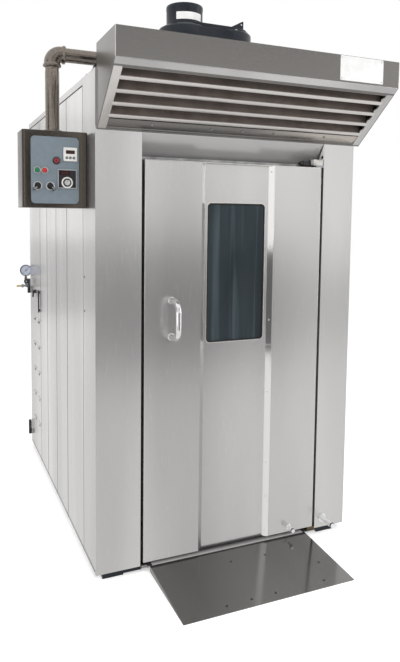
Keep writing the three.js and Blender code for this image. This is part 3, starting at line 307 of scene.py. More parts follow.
def surface(kind, name, color, roughness=None, coat=0.0, ior=1.45):
    usual, metallic, grain, clouds, ends, change, bump = surfaces[kind]
    roughness = roughness or usual
    mat = newFinish(name, color, metallic, roughness, coat, ior)
    fine = addPattern(mat, *grain)
    cloud = addPattern(mat, *clouds)
    feed(mat, "Base Color", ramp(mat, cloud, *[(place, times(color, k)) for place, k in ends]))
    setRoughness(mat, cloud, roughness + change[0], roughness + change[1])
    setBump(mat, fine, *bump)
    return mat


def polished(name, color, roughness, metallic=1.0):
    mat = newFinish(name, color, metallic, roughness)
    smear = addPattern(mat, 60, 4)
    feed(mat, "Base Color", ramp(mat, smear, (0.3, times(color, 0.88)), (0.7, color)))
    setRoughness(mat, smear, roughness * 0.8, roughness * 1.5)
    return mat


def hammeredBronze(name, level, metallic):
    mat = newFinish(name, times((1, 0.85, 0.71), level), metallic, 0.3)
    cells = addCells(mat, 260)
    cloud = addPattern(mat, 30, 4)
    tone = (1, 0.87, 0.75)
    feed(mat, "Base Color", ramp(mat, cells, *[(place, times(tone, level * k))
                                               for place, k in ((0.0, 0.6), (0.5, 1.0), (1.0, 1.5))]))
    setRoughness(mat, cloud, 0.16, 0.26)
    setBump(mat, cells, 0.18, 0.0008)
    return mat


def smokedGlass(name):
    mat = newFinish(name, (0.018, 0.024, 0.028), 0.0, 0.08, 0.0, 1.16)
    film = addPattern(mat, 5, 3, (1, 1, 0.2))
    bars = addPattern(mat, 4, 2, (9, 1, 0.25))      # painted reflection: faint upright bars painted into the glass, for the glints of what stands in the chamber
    tone = ramp(mat, film, (0.3, (0.022, 0.028, 0.031)), (0.7, (0.040, 0.052, 0.059)))
    paintedGlints = ramp(mat, bars, (0.5, (0.0, 0.0, 0.0)), (0.72, (0.030, 0.040, 0.046)))
    feed(mat, "Base Color", blendColors(mat, tone, paintedGlints, "ADD"))
    setRoughness(mat, film, 0.04, 0.11)
    return mat


# The finishes, grouped under slot names.
looks = {
    "brushed_steel": {
        "postSteel": brushedSteel("post_steel", 0.62),
        "doorSteel": brushedSteel("door_steel", 0.58),
        "sideSteel": brushedSteel("side_steel", 0.68, contrast=0.16),
        "roofSteel": brushedSteel("roof_steel", 0.64, "y", contrast=0.07),
        "trimSteel": brushedSteel("trim_steel", 0.80, roughness=(0.07, 0.10), metallic=1.0),
        # painted shade: the hood's steel is painted much darker than the rest, for the dark reflections on its
        # fascia; its warm tone is its own
        "hoodShadedSteel": brushedSteel("hood_shaded_steel", 0.225, "x", warmth=0.045, contrast=0.07),
        "slatSteel": brushedSteel("slat_steel", 0.72, "x", warmth=0.04),
        "apronSteel": brushedSteel("apron_steel", 0.26, "x", warmth=0.05, contrast=0.25),
        "headerSteel": brushedSteel("header_steel", 0.52, "x", metallic=0.5),
        "rampSteel": brushedSteel("ramp_steel", 0.22, "y", roughness=(0.10, 0.14), warmth=0.03),
        "chamberSteel": brushedSteel("chamber_steel", 0.36, contrast=0.2),
        "sillSteel": brushedSteel("sill_steel", 0.55, "x", metallic=0.2),
        "baffleSteel": surface("paint", "baffle_steel", (0.20, 0.165, 0.145), 0.4),
    },
    "dark_steel": {
        "shadowLine": surface("plastic", "shadow_line", (0.030, 0.028, 0.027), 0.6),
    },
    "black_paint": {
        "blackPaint": surface("paint", "black_paint", (0.014, 0.017, 0.023), 0.3, ior=1.35),
        "grayPaint": surface("paint", "machine_paint", (0.10, 0.12, 0.13)),
    },
    "hammered_bronze": {
        # lit and shaded copies of one hammered bronze: the pipe's is painted lighter, for the bright reflections on
        # its curve, and the box's darker, for the dark ones on its flat front
        "bronze": hammeredBronze("hammered_bronze", 0.24, 0.95),
        "boxShadedBronze": hammeredBronze("box_shaded_bronze", 0.115, 0.97),
    },
    "black_rubber": {
        "rubber": surface("rubber", "black_rubber", gray(0.012)),
        "rope": surface("rubber", "rope_seal", gray(0.20)),
    },
    "smoked_glass": {
        "glass": smokedGlass("smoked_glass"),
    },
    "chrome": {
        "chrome": polished("chrome", (0.86, 0.86, 0.86), 0.08),
        # painted highlight: half white paint and half chrome, so that the lamps light the rods white as a highlight
        # would
        "highlightChrome": polished("highlight_chrome", (0.94, 0.94, 0.94), 0.14, 0.5),
        "darkChrome": polished("dark_chrome", (0.10, 0.10, 0.12), 0.2),
    },
    "brass": {
        "brass": polished("brass", (0.55, 0.40, 0.17), 0.25),
        "darkBrass": surface("cast", "dark_brass", (0.17, 0.125, 0.075)),
    },
    "zinc": {
        "zinc": surface("cast", "zinc", (0.42, 0.43, 0.44)),
    },
    "black_plastic": {
        "blackPlastic": surface("plastic", "black_plastic", (0.010, 0.010, 0.012), 0.35),
        "grayPlastic": surface("plastic", "gray_plastic", (0.16, 0.17, 0.19)),
        "bezelPlastic": surface("plastic", "bezel_plastic", (0.34, 0.35, 0.36)),
        "display": surface("plastic", "display_window", (0.006, 0.002, 0.003), 0.2, 0.1),
    },
    "white_plastic": {
        "whitePlastic": surface("plastic", "white_plastic", (0.68, 0.67, 0.64)),
        "knobPlastic": surface("plastic", "knob_plastic", (0.42, 0.42, 0.42), 0.3),
        "plateWhite": surface("plastic", "plate_white", (0.80, 0.80, 0.79), 0.3),
        "dialWhite": surface("plastic", "dial_white", (0.58, 0.62, 0.74), 0.3),
    },
    "green_plastic": {
        "greenPlastic": surface("plastic", "green_plastic", (0.01, 0.16, 0.06), 0.25, 0.5),
    },
    "red_plastic": {
        "redPlastic": surface("plastic", "red_plastic", (0.45, 0.012, 0.018), 0.25, 0.5),
        "litRed": surface("plastic", "lit_figures", (0.20, 0.010, 0.012)),
        "lampPlastic": surface("plastic", "lamp_plastic", (0.16, 0.008, 0.012), 0.15, 0.8),
    },
    "panel_membrane": {
        "membrane": surface("plastic", "panel_membrane", (0.165, 0.202, 0.232), 0.45),
    },
}
finishes = {name: mat for mats in looks.values() for name, mat in mats.items()}

# Painted reflection: the apron under the grille is painted lighter towards the right, for the bright reflection
# along it.
apron = finishes["apronSteel"]
pale = ramp(apron, fadeAlongX(apron, 0.05, 0.42), (0.0, (1, 1, 1)), (1.0, (2.6, 2.5, 2.4)))
plain = apron.node_tree.nodes["Principled BSDF"].inputs["Base Color"].links[0].from_socket
feed(apron, "Base Color", blendColors(apron, plain, pale))

nodeFinishes = {
    "postSteel": ["left_post", "right_post"],
    "headerSteel": ["header_panel"],
    "doorSteel": ["door_shell"],
    "sideSteel": ["left_side_panel_1", "left_side_panel_2", "left_side_panel_3", "left_side_panel_4",
                  "right_side_panel", "rear_cover", "service_door"],
    "roofSteel": ["roof_panel"],
    "chamberSteel": ["chamber_left_wall", "chamber_right_wall", "chamber_ceiling", "chamber_rear_wall",
                     "chamber_floor", "plenum_bulkhead"],
    "hoodShadedSteel": ["hood_canopy"],
    "rampSteel": ["ramp"],
    "blackPaint": ["base_frame", "blower_motor"],
    "grayPaint": ["gear_motor", "fan_motor"],
    "rubber": ["door_gasket"],
    "darkBrass": ["bottom_hinge_bracket"],
    "zinc": ["top_hinge_bracket", "blower_impeller", "shaft_bearing", "rack_hook", "circulation_fan",
             "heater_bank"],
    "membrane": ["control_panel"],
}
for finish, names in nodeFinishes.items():
    for name in names:
        for slot in nodes[name].material_slots:
            slot.material = finishes[finish]
nodes["ramp"].visible_glossy = False   # a brushed door does not mirror the plate at its foot
print("finishes assigned")

frontFace = 905          # from the middle of the part to the front face of the cabinet


# Places are written in millimetres from the front face of the cabinet, as in the workshop drawing.
def at(x, y, z):
    return Vector((x, y - frontFace, z)) * mm


def pick(obj):
    bpy.ops.object.select_all(action="DESELECT")
    obj.select_set(True)
    bpy.context.view_layer.objects.active = obj


def openMesh(obj, kind="FACE"):
    pick(obj)
    bpy.ops.object.mode_set(mode="EDIT")
    bpy.ops.mesh.select_mode(type=kind)
    bpy.ops.mesh.select_all(action="DESELECT")


def closeMesh():
    bpy.ops.object.mode_set(mode="OBJECT")


def selectAll():
    bpy.ops.mesh.select_all(action="SELECT")


def pickFaces(obj, test):
    mesh = bmesh.from_edit_mesh(obj.data)
    for face in mesh.faces:
        if test(face.calc_center_median(), face.normal):
            face.select_set(True)
    bmesh.update_edit_mesh(obj.data)


def pickFacing(obj, way, limit=0.9):
    pickFaces(obj, lambda mid, normal: normal.dot(way) > limit)


def pickEdges(obj, test):
    mesh = bmesh.from_edit_mesh(obj.data)
    for edge in mesh.edges:
        start, end = edge.verts[0].co, edge.verts[1].co
        if test((start + end) / 2, (end - start).normalized()):
            edge.select_set(True)
    bmesh.update_edit_mesh(obj.data)


# Moves and borders are in millimetres.
def extrude(move):
    bpy.ops.mesh.extrude_region_move(TRANSFORM_OT_translate={"value": move * mm})


# The faces that look one way get a border, and what is inside the border moves.
def stepFaces(obj, way, border, move):
    openMesh(obj)
    pickFacing(obj, way)
    bpy.ops.mesh.inset(thickness=border * mm)
    extrude(move)
    closeMesh()


# The same with a sloping step inside the border.
def rimFaces(obj, way, border, step, depth, limit=0.9):
    openMesh(obj)
    pickFacing(obj, way, limit)
    bpy.ops.mesh.inset(thickness=border * mm)
    bpy.ops.mesh.inset(thickness=step * mm, depth=depth * mm)
    closeMesh()


def roundAlong(obj, axis, radius, segments=8):
    openMesh(obj, "EDGE")
    pickEdges(obj, lambda mid, way: abs(way.dot(axis)) > 0.9)
    bpy.ops.mesh.bevel(offset=radius * mm, segments=segments, affect="EDGES")
    closeMesh()


def modify(obj, kind, **settings):
    pick(obj)
    change = obj.modifiers.new("change", kind)
    for key, value in settings.items():
        setattr(change, key, value)
    bpy.ops.object.modifier_apply(modifier="change")


def roundEdges(obj, width, segments=2, angle=40):
    modify(obj, "BEVEL", width=width * mm, segments=segments, limit_method="ANGLE", angle_limit=math.radians(angle))
    return obj


def combine(obj, other, operation):
    modify(obj, "BOOLEAN", operation=operation, solver="EXACT", object=other)
    bpy.data.objects.remove(other)


def named(name):
    obj = bpy.context.object
    obj.name = obj.data.name = name
    return obj


def primitive(name, add, scale=(1, 1, 1), **options):
    bpy.ops.object.select_all(action="DESELECT")
    add(**options)
    obj = named(name)
    obj.scale = scale
    bpy.ops.object.transform_apply(location=True, rotation=True, scale=True)
    return obj


def block(name, low, high):
    return primitive(name, bpy.ops.mesh.primitive_cube_add, high - low, size=1, location=(low + high) / 2)


# Sizes are x, x, y, y, z, z, counted from the place given.
def box(name, sizes, edge=0, segments=2, about=(0, 0, 0)):
    (x0, x1, y0, y1, z0, z1), (x, y, z) = sizes, about
    obj = block(name, at(x + x0, y + y0, z + z0), at(x + x1, y + y1, z + z1))
    return roundEdges(obj, edge, segments) if edge else obj


# A box that is centred on x and z, for what lies flat in a front.
def flatBox(name, x, z, width, height, near, far, edge=0, segments=2):
    half, tall = width / 2, height / 2
    return box(name, (-half, half, near, far, -tall, tall), edge, segments, (x, 0, z))


def circle(name, centre, axis, radius, sides, fill="NGON"):
    return primitive(name, bpy.ops.mesh.primitive_circle_add, vertices=sides, radius=radius * mm, fill_type=fill,
                     location=centre, rotation=axis.to_track_quat("Z", "Y").to_euler())


# A turned piece: a disc that is drawn out along its axis, ring by ring, and widened or narrowed.
# The profile lists (distance from the base, radius) in millimetres.
def turned(name, base, axis, profile, sides=32):
    obj = circle(name, base + axis * profile[0][0] * mm, axis, profile[0][1], sides)
    openMesh(obj)
    selectAll()
    for (near, before), (far, after) in zip(profile, profile[1:]):
        extrude(axis * (far - near))
        k = after / before
        bpy.ops.transform.resize(value=(k, k, k), center_override=base + axis * far * mm)
    closeMesh()
    return obj


# A tube drawn along straight lengths and bends. A bend is (centre, axis, degrees).
def drawn(name, start, axis, radius, moves, sides=24):
    obj = circle(name, start, axis, radius, sides, "NOTHING")
    openMesh(obj, "EDGE")
    selectAll()
    for move in moves:
        if isinstance(move, Vector):
            extrude(move)
        else:
            centre, around, degrees = move
            bpy.ops.mesh.spin(steps=10, angle=math.radians(degrees), center=centre, axis=around)
    selectAll()
    bpy.ops.mesh.fill_holes(sides=0)
    closeMesh()
    return obj


def flatRing(name, base, axis, outer, inner, thickness, sides=40):
    obj = circle(name, base, axis, outer, sides)
    openMesh(obj)
    selectAll()
    bpy.ops.mesh.inset(thickness=(outer - inner) * mm)
    bpy.ops.mesh.delete(type="FACE")
    selectAll()
    extrude(axis * thickness)
    closeMesh()
    return obj


def join(name, pieces):
    pick(pieces[0])
    for piece in pieces:
        piece.select_set(True)
    bpy.ops.object.join()
    return named(name)


def turnAbout(obj, centre, degrees, axis):
    turn = Matrix.Rotation(math.radians(degrees), 4, axis)
    obj.data.transform(Matrix.Translation(centre) @ turn @ Matrix.Translation(-centre))


# A copy with its own mesh, moved by an offset in metres.
def copied(obj, name, offset):
    twin = obj.copy()
    twin.data = obj.data.copy()
    twin.name = twin.data.name = name
    twin.data.transform(Matrix.Translation(offset))
    scene.collection.objects.link(twin)
    return twin


def finishPiece(obj, finish, body="oven_body", smooth=35, replaces=()):
    openMesh(obj)
    selectAll()
    bpy.ops.mesh.normals_make_consistent(inside=False)
    closeMesh()
    bpy.ops.object.shade_smooth_by_angle(angle=math.radians(smooth))
    obj.data.materials.clear()
    obj.data.materials.append(finishes[finish])
    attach(obj, body)
    if replaces:
        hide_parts(*replaces)


# The first piece stays at the first place and is copied to the others.
def finishRow(first, name, places, finish, body="oven_body"):
    row = [first] + [copied(first, f"{name}_{n}", place - places[0]) for n, place in enumerate(places[1:], 2)]
    for piece in row:
        finishPiece(piece, finish, body)


# Dark strips in the shadow_line finish: painted shade along seams and painted shadow under lips and along feet.
def makeLines(name, boxes):
    for n, sizes in enumerate(boxes, 1):
        finishPiece(box(f"{name}_{n}", sizes, 0.3), "shadowLine")


handle = {
    "x": -312,
    "feet": (1080, 1245),
    "start": 3,          # of the bar, in front of the door
    "reach": 90,         # from the door to the middle of the bar
    "bar": 13.6,         # radius
    "bend": 46,
    "footStart": 0.4,
    "foot": [(0, 16.5), (1, 17), (3.4, 17), (4.6, 16), (5, 14.4), (9, 14.2), (10, 13.7)],
    "screwAt": (-13, -14),
    "screw": [(-2, 2.6), (0.6, 2.6), (1.1, 2.1), (1.1, 1.2), (-0.4, 1.1)],
}


def makeHandle(h):
    x, (low, high), bend = h["x"], h["feet"], h["bend"]
    arm, rise = toFront * (h["reach"] - bend - h["start"]), toTop * (high - low)
    y = bend - h["reach"]
    bar = drawn("door_pull", at(x, -h["start"], low), toFront, h["bar"], [
        arm, (at(x, y, low + bend), toRight, 90),
        rise - toTop * 2 * bend, (at(x, y, high - bend), toRight, 90), -arm])
    finishPiece(bar, "chrome", "door", smooth=50, replaces=["door_handle"])
    aside, y = h["screwAt"]
    rows = (("foot", at(x, -h["footStart"], low), toFront, 40, "chrome", 30),
            ("screw", at(x + aside, y, low), -toRight, 12, "zinc", 35))
    for name, place, way, sides, finish, smooth in rows:
        lower = turned(f"door_pull_{name}_lower", place, way, h[name], sides)
        for piece in (lower, copied(lower, f"door_pull_{name}_upper", rise * mm)):
            finishPiece(piece, finish, "door", smooth)


makeHandle(handle)
print("door pull made")

pendant = {
    "place": (-801, 185),
    "foot": 1976.3,      # top of the control box
    "level": 2313,       # height of the level pipe
    "pipe": 30.1,
    "elbowFoot": 2257,
    "elbow": 34.5,
    "elbowReach": 56,
    "bend": 38,
    "inCollar": (2, 9),  # how far the elbow and the level pipe reach into the collars
    "drop": -401,        # where the level pipe turns down to the roof
    "dropBend": 45,
    "dropEnd": 2236,
    "upright": [(0, 30.1), (262, 30.1), (264, 29.3), (290, 29.3)],
    "collar": [(0, 33), (0.6, 37), (2.5, 39), (8, 39), (10, 38), (14, 35.4), (16, 34.5)],
    "nut": [(0, 40), (2, 43), (9, 43), (11, 40), (11, 31)],
    "flangeFoot": 2233.4,
    "flange": [(0, 59.6), (6, 59.6), (8, 58), (8, 42), (11, 38), (24, 36), (26, 34), (26, 30.4)],
    "bolts": (34, 2241), # how far from the axis, foot
    "bolt": [(0, 7.5), (4.6, 7.5), (5.6, 6.4), (5.6, 3.6), (8, 3.6), (8.6, 3)],
}


def makePendant(p):
    (x, y), level, bend, low = p["place"], p["level"], p["bend"], p["elbowFoot"]
    elbowIn, pipeIn = p["inCollar"]
    upright = turned("pendant_upright", at(x, y, p["foot"]), toTop, p["upright"], 40)
    finishPiece(upright, "bronze", replaces=["pendant_pipe_upright"])
    finishPiece(turned("pendant_lock_nut", at(x, y, p["foot"]), toTop, p["nut"], 6), "bronze")

    elbow = drawn("pendant_bend", at(x, y, low + elbowIn), toTop, p["elbow"], [
        toTop * (level - bend - low - elbowIn),
        (at(x + bend, y, level - bend), -toFront, -90),
        toRight * (p["elbowReach"] - bend - elbowIn)], 40)
    lower = turned("pendant_collar_lower", at(x, y, low), toTop, p["collar"], 40)
    side = turned("pendant_collar_side", at(x + p["elbowReach"], y, level), -toRight, p["collar"], 40)
    elbow = join("pendant_bend", [elbow, lower, side])
    finishPiece(elbow, "bronze", smooth=50, replaces=["pendant_elbow"])

    start, drop, dropBend = x + p["elbowReach"] - pipeIn, p["drop"], p["dropBend"]
    pipe = drawn("pendant_level", at(start, y, level), toRight, p["pipe"], [
        toRight * (drop - dropBend - start),
        (at(drop - dropBend, y, level - dropBend), -toFront, -90),
        -toTop * (level - dropBend - p["dropEnd"])], 40)
    flange = turned("pendant_roof_flange", at(drop, y, p["flangeFoot"]), toTop, p["flange"], 48)
    finishPiece(join("pendant_level", [pipe, flange]), "bronze", smooth=40, replaces=["pendant_pipe_level"])
    out, foot = p["bolts"]
    places = [at(drop + dx * out, y + dy * out, foot) for dx, dy in ((1, 1), (-1, 1), (-1, -1), (1, -1))]
    bolt = turned("roof_flange_bolt_1", places[0], toTop, p["bolt"], 6)
    finishRow(bolt, "roof_flange_bolt", places, "zinc")


makePendant(pendant)
print("pendant pipe made")

controlBox = {
    "case": (-943, -666, 100, 245, 1651, 1976),
    "corner": 14,
    "edge": 2,
    "recess": (-908, -705, 90, 104.3, 1669, 1951),   # for the control panel
    "recessCorner": 18,
}


def makeControlBox(b):
    case = box("pendant_box", b["case"])
    roundAlong(case, toTop, b["corner"])
    roundEdges(case, b["edge"], 3, 60)
    recess = box("panel_recess", b["recess"])
    roundAlong(recess, toFront, b["recessCorner"])
    combine(case, recess, "DIFFERENCE")
    finishPiece(case, "boxShadedBronze", smooth=10, replaces=["control_box"])


makeControlBox(controlBox)
print("control box made")

instruments = {
    "panel": 100,                       # front of the control panel
    "face": 92.9,                       # front of the bezels
    "back": 159.8,
    "timer": (-743, 1879, 58),          # middle x, z, size
    "timerDisplay": (-743, 1888.5, 37, 15),
    "controller": (-756.5, 1774.5, 81),
    "controllerDisplay": (-767, 1799, 44, 17),
    "controllerFrame": 6.8,             # how much smaller its black face is
    "bezelCorner": 3.5,
    "bezelRim": (2.2, 0.5, -0.6),
    "displayRim": 1.1,
    "displayStep": 0.5,
    "figure": (0.24, 0.13, 0.5),        # pitch and width as shares of the display's width, height as a share
    "bar": (0.2, 0.7, 0.36),            # shares of a figure: thickness, length, height
    "dial": (-757, 1759),
    "dialScale": (24, 18, 0.6),
    "dialSkirt": [(0, 2.8), (4, 2.8), (4.1, 16.4), (5.8, 16.9), (6.8, 16.2), (7, 13)],
    "dialKnob": [(0, 12.4), (1.4, 12.4), (5.6, 11.4), (6.4, 10.6), (6.8, 9), (6.5, 8.4)],
    "dialKnobBase": 89.3,
    "dialMark": (-0.7, 0.7, 82.3, 83.4, 2, 10),
    "keys": (-758, -743, -728),
    "keyHeight": 1864.5,
    "keyBase": 96.2,
    "keyRing": (5.9, 4.8, 0.7),
    "key": [(0, 4.3), (4.4, 4.3), (5.1, 3.8), (5.5, 2.6)],
    "buttons": {"green": (-882, "start_button"), "red": (-851, "stop_button")},
    "buttonHeight": 1808,
    "buttonBase": 121,
    "buttonCap": [(0, 5), (20, 5), (20.4, 9.7), (30, 9.7), (31.8, 9), (32.7, 7.6), (33, 5)],
    "buttonRing": (14.6, 10.5, 6),      # outer, inner, height
    "selectors": {"left": (-880, -135), "right": (-828, -45)},   # x, and the turn of the lever
    "selectorHeight": 1743,
    "selectorAxis": 90,
    "selectorRing": (18.5, 13.4, 4),
    "base": 128.7,                      # of the lamp and the selectors, behind the panel
    "knob": [(0, 6), (28.9, 6), (29, 12.8), (32.6, 12.8), (34, 12), (34.4, 10)],
    "lever": (-10, 25, 82.2, 95.2, -4.5, 4.5),
    "leverLine": (7, 23, 81.9, 82.6, -0.8, 0.8),
    "lamp": (-801, 1851),
    "lampBase": [(0, 11), (28, 11), (28.5, 16), (32, 16), (33.6, 15.2), (34.2, 13.4)],
    "lampLens": [(0, 12.6), (1.4, 12.6), (2.6, 11.4), (3.5, 8.8), (3.9, 5), (4, 2)],
    "lensBase": 94.8,
}


# The six bars of a lit zero.
def makeZero(i, name, x, z, width, height, near):
    thick, long, tall = i["bar"]
    level = [(0, width * long, width * thick)]
    upright = [(side * width / 2, width * thick, height * tall) for side in (-1, 1)]
    rows = ((height / 2, level), (height / 4, upright), (-height / 4, upright), (-height / 2, level))
    return [flatBox(name, x + dx, z + dz, wide, high, near, near + 0.4, 0.15, 1)
            for dz, bars in rows for dx, wide, high in bars]


def makeDisplay(i, name, x, z, width, height, face):
    window = flatBox(name, x, z, width, height, face - 0.9, face)
    roundAlong(window, toFront, 1.2, 3)
    stepFaces(window, toFront, i["displayRim"], -toFront * i["displayStep"])
    finishPiece(window, "display")
    pitch, wide, tall = i["figure"]
    bars = []
    for step in (-1, 0, 1):
        bars += makeZero(i, name, x + step * width * pitch, z, width * wide, height * tall, face - 0.75)
    finishPiece(join(name + "_figures", bars), "litRed")


def makeBezel(i, name, x, z, size, finish, replaced):
    bezel = flatBox(name, x, z, size, size, i["face"], i["panel"] - 0.2)
    roundAlong(bezel, toFront, i["bezelCorner"], 4)
    roundEdges(bezel, 1.2, 3, 60)
    rimFaces(bezel, toFront, *i["bezelRim"], limit=0.99)
    finishPiece(bezel, finish, replaces=[replaced])
    back = flatBox(name + "_back", x, z, size - 8, size - 8, i["panel"] - 1, i["back"], 1.5)
    finishPiece(back, "blackPlastic")


def makeChromeRing(i, name, x, z, sizes):
    ring = flatRing(name, at(x, i["panel"], z), toFront, *sizes)
    finishPiece(roundEdges(ring, 1.2, 3), "chrome")


def makeInstruments(i):
    face = i["face"]
    makeBezel(i, "timer_bezel", *i["timer"], "whitePlastic", "timer")
    makeDisplay(i, "timer_display", *i["timerDisplay"], face + 0.6)
    z = i["keyHeight"]
    for n, x in enumerate(i["keys"], 1):
        well = flatRing(f"timer_key_ring_{n}", at(x, face + 0.6, z), toFront, *i["keyRing"], 24)
        finishPiece(well, "blackPlastic")
        key = turned(f"timer_key_cap_{n}", at(x, i["keyBase"], z), toFront, i["key"], 24)
        finishPiece(key, "grayPlastic", f"timer_button_{n}", replaces=[f"timer_key_{n}"])

    x, z, size = i["controller"]
    makeBezel(i, "controller_bezel", x, z, size, "bezelPlastic", "temperature_controller")
    inner = size - i["controllerFrame"]
    finishPiece(flatBox("controller_face", x, z, inner, inner, face - 0.2, face + 3, 0.6), "blackPlastic")
    makeDisplay(i, "controller_display", *i["controllerDisplay"], face - 0.1)
    x, z = i["dial"]
    scale = flatRing("controller_scale", at(x, face - 0.1, z), toFront, *i["dialScale"], 64)
    finishPiece(scale, "whitePlastic")
    skirt = turned("controller_knob_skirt", at(x, i["keyBase"], z), toFront, i["dialSkirt"], 48)
    finishPiece(skirt, "blackPlastic", "temperature_dial", replaces=["controller_dial"])
    knob = turned("controller_knob", at(x, i["dialKnobBase"], z), toFront, i["dialKnob"], 48)
    finishPiece(knob, "knobPlastic", "temperature_dial")
    mark = box("controller_knob_mark", i["dialMark"], 0.3, about=(x, 0, z))
    finishPiece(mark, "blackPlastic", "temperature_dial")

    x, z = i["lamp"]
    base = turned("alarm_lamp_base", at(x, i["base"], z), toFront, i["lampBase"], 48)
    finishPiece(base, "blackPlastic", replaces=["alarm_lamp"])
    lens = turned("alarm_lamp_lens", at(x, i["lensBase"], z), toFront, i["lampLens"], 48)
    finishPiece(lens, "lampPlastic", smooth=60)

    z = i["buttonHeight"]
    for color, (x, body) in i["buttons"].items():
        makeChromeRing(i, f"{color}_button_ring", x, z, i["buttonRing"])
        cap = turned(f"{color}_button_cap", at(x, i["buttonBase"], z), toFront, i["buttonCap"], 40)
        finishPiece(cap, f"{color}Plastic", body, smooth=50, replaces=[f"{color}_button"])

    z = i["selectorHeight"]
    for side, (x, turn) in i["selectors"].items():
        name = f"{side}_selector"
        makeChromeRing(i, name + "_ring", x, z, i["selectorRing"])
        knob = turned(name + "_knob", at(x, i["base"], z), toFront, i["knob"], 40)
        lever = box("lever", i["lever"], 1.6, 3, (x, 0, z))
        line = box(name + "_line", i["leverLine"], 0.25, 1, (x, 0, z))
        for piece in (lever, line):
            openMesh(piece)
            selectAll()
            bpy.ops.transform.rotate(value=math.radians(turn), orient_axis="Y",
                                     center_override=at(x, i["selectorAxis"], z))
            closeMesh()
        knob = join(name + "_knob", [knob, lever])
        finishPiece(knob, "blackPlastic", f"{side}_switch", replaces=[name])
        finishPiece(line, "whitePlastic", f"{side}_switch")


makeInstruments(instruments)
print("instruments made")


# The open underside of the hood is a slope. A place on it is (x, distance up the slope, depth behind its face).
hood = {
    "foot": (0, 1980),         # lower edge of the slope: y, z
    "head": (-256, 2193),
    "left": -649.5,
    "right": 682.5,
    "strip": 36,
    "slats": (78, 142, 207, 272),
    "edge": 18,
    "slatDepth": (1, 3.2),
    "folds": ((0, 6, 14), (0, 2, 38)),  # how the web of a slat goes on
    # name, range up the slope, depth, step inside the border, finish
    "rails": (("baffle_lower_rail", (8, 20), (0.3, 12), -0.6, "hoodShadedSteel"),
              ("baffle_top_rail", (318, 324), (0.3, 12), -0.6, "hoodShadedSteel"),
              ("baffle_apron", (20, 62), (2, 5), 0.6, "apronSteel")),
    "stripRange": (8, 324),
    "stripDepth": (0.3, 9),
    "tabAt": (3, 20),                   # from the strip's edge, from the middle of the slat's edge
    "tab": [(0, 13), (4, 13)],          # the tabs carry the slats
    "lipSlope": {"foot": (-256, 2193), "head": (-281, 2214)},
    "lip": ((-652, 685), (1, 31.5), (-0.5, 0.5)),
    # painted highlights: strips of lighter steel along the hood's folded edges, standing in for their highlights
    "edges": (((-653.6, -650.6, -281.7, -279, 2214, 2331), "slatSteel"),
              ((683.4, 685.8, -281.7, -279, 2214, 2331), "slatSteel"),
              ((-653, 686, -281.9, -279.6, 2212.6, 2215.4), "doorSteel")),
    "bolts": ((-420, -140, 15, 180, 460), 42, 2.4),
    "bolt": [(0, 5.5), (3, 5.5), (4.2, 4.6), (4.6, 3)],
    "plate": (361, 594, -282.4, -281, 2223, 2329),   # bare name plate on the fascia
    "plateCorner": 5,
    "plateRim": (3, 0.6, -0.3),
    "rivetIn": 9,
    "rivetBase": -282.1,
    "rivet": [(0, 4.2), (0.6, 4.2), (1.5, 3.4), (2, 2), (2.1, 0.8)],
}


def slope(h, x, along, depth=0.0):
    (y0, z0), (y1, z1) = h["foot"], h["head"]
    length = math.hypot(y1 - y0, z1 - z0)
    sy, sz = (y1 - y0) / length, (z1 - z0) / length
    return at(x, y0 + sy * along + sz * depth, z0 + sz * along - sy * depth)


# Up the slope, and at a right angle to it into the hood.
def slopeWays(h):
    return [(slope(h, 0, *far) - slope(h, 0, 0)).normalized() for far in ((1000,), (0, 1000))]


# A block that lies on the slope: x range, range up the slope, depth range behind the face.
def slopeBlock(h, name, xs, alongs, depths):
    obj = block(name, Vector((xs[0], alongs[0], depths[0])) * mm, Vector((xs[1], alongs[1], depths[1])) * mm)
    turn = Matrix((toRight, *slopeWays(h))).transposed().to_4x4()
    obj.data.transform(Matrix.Translation(slope(h, 0, 0)) @ turn)
    return obj


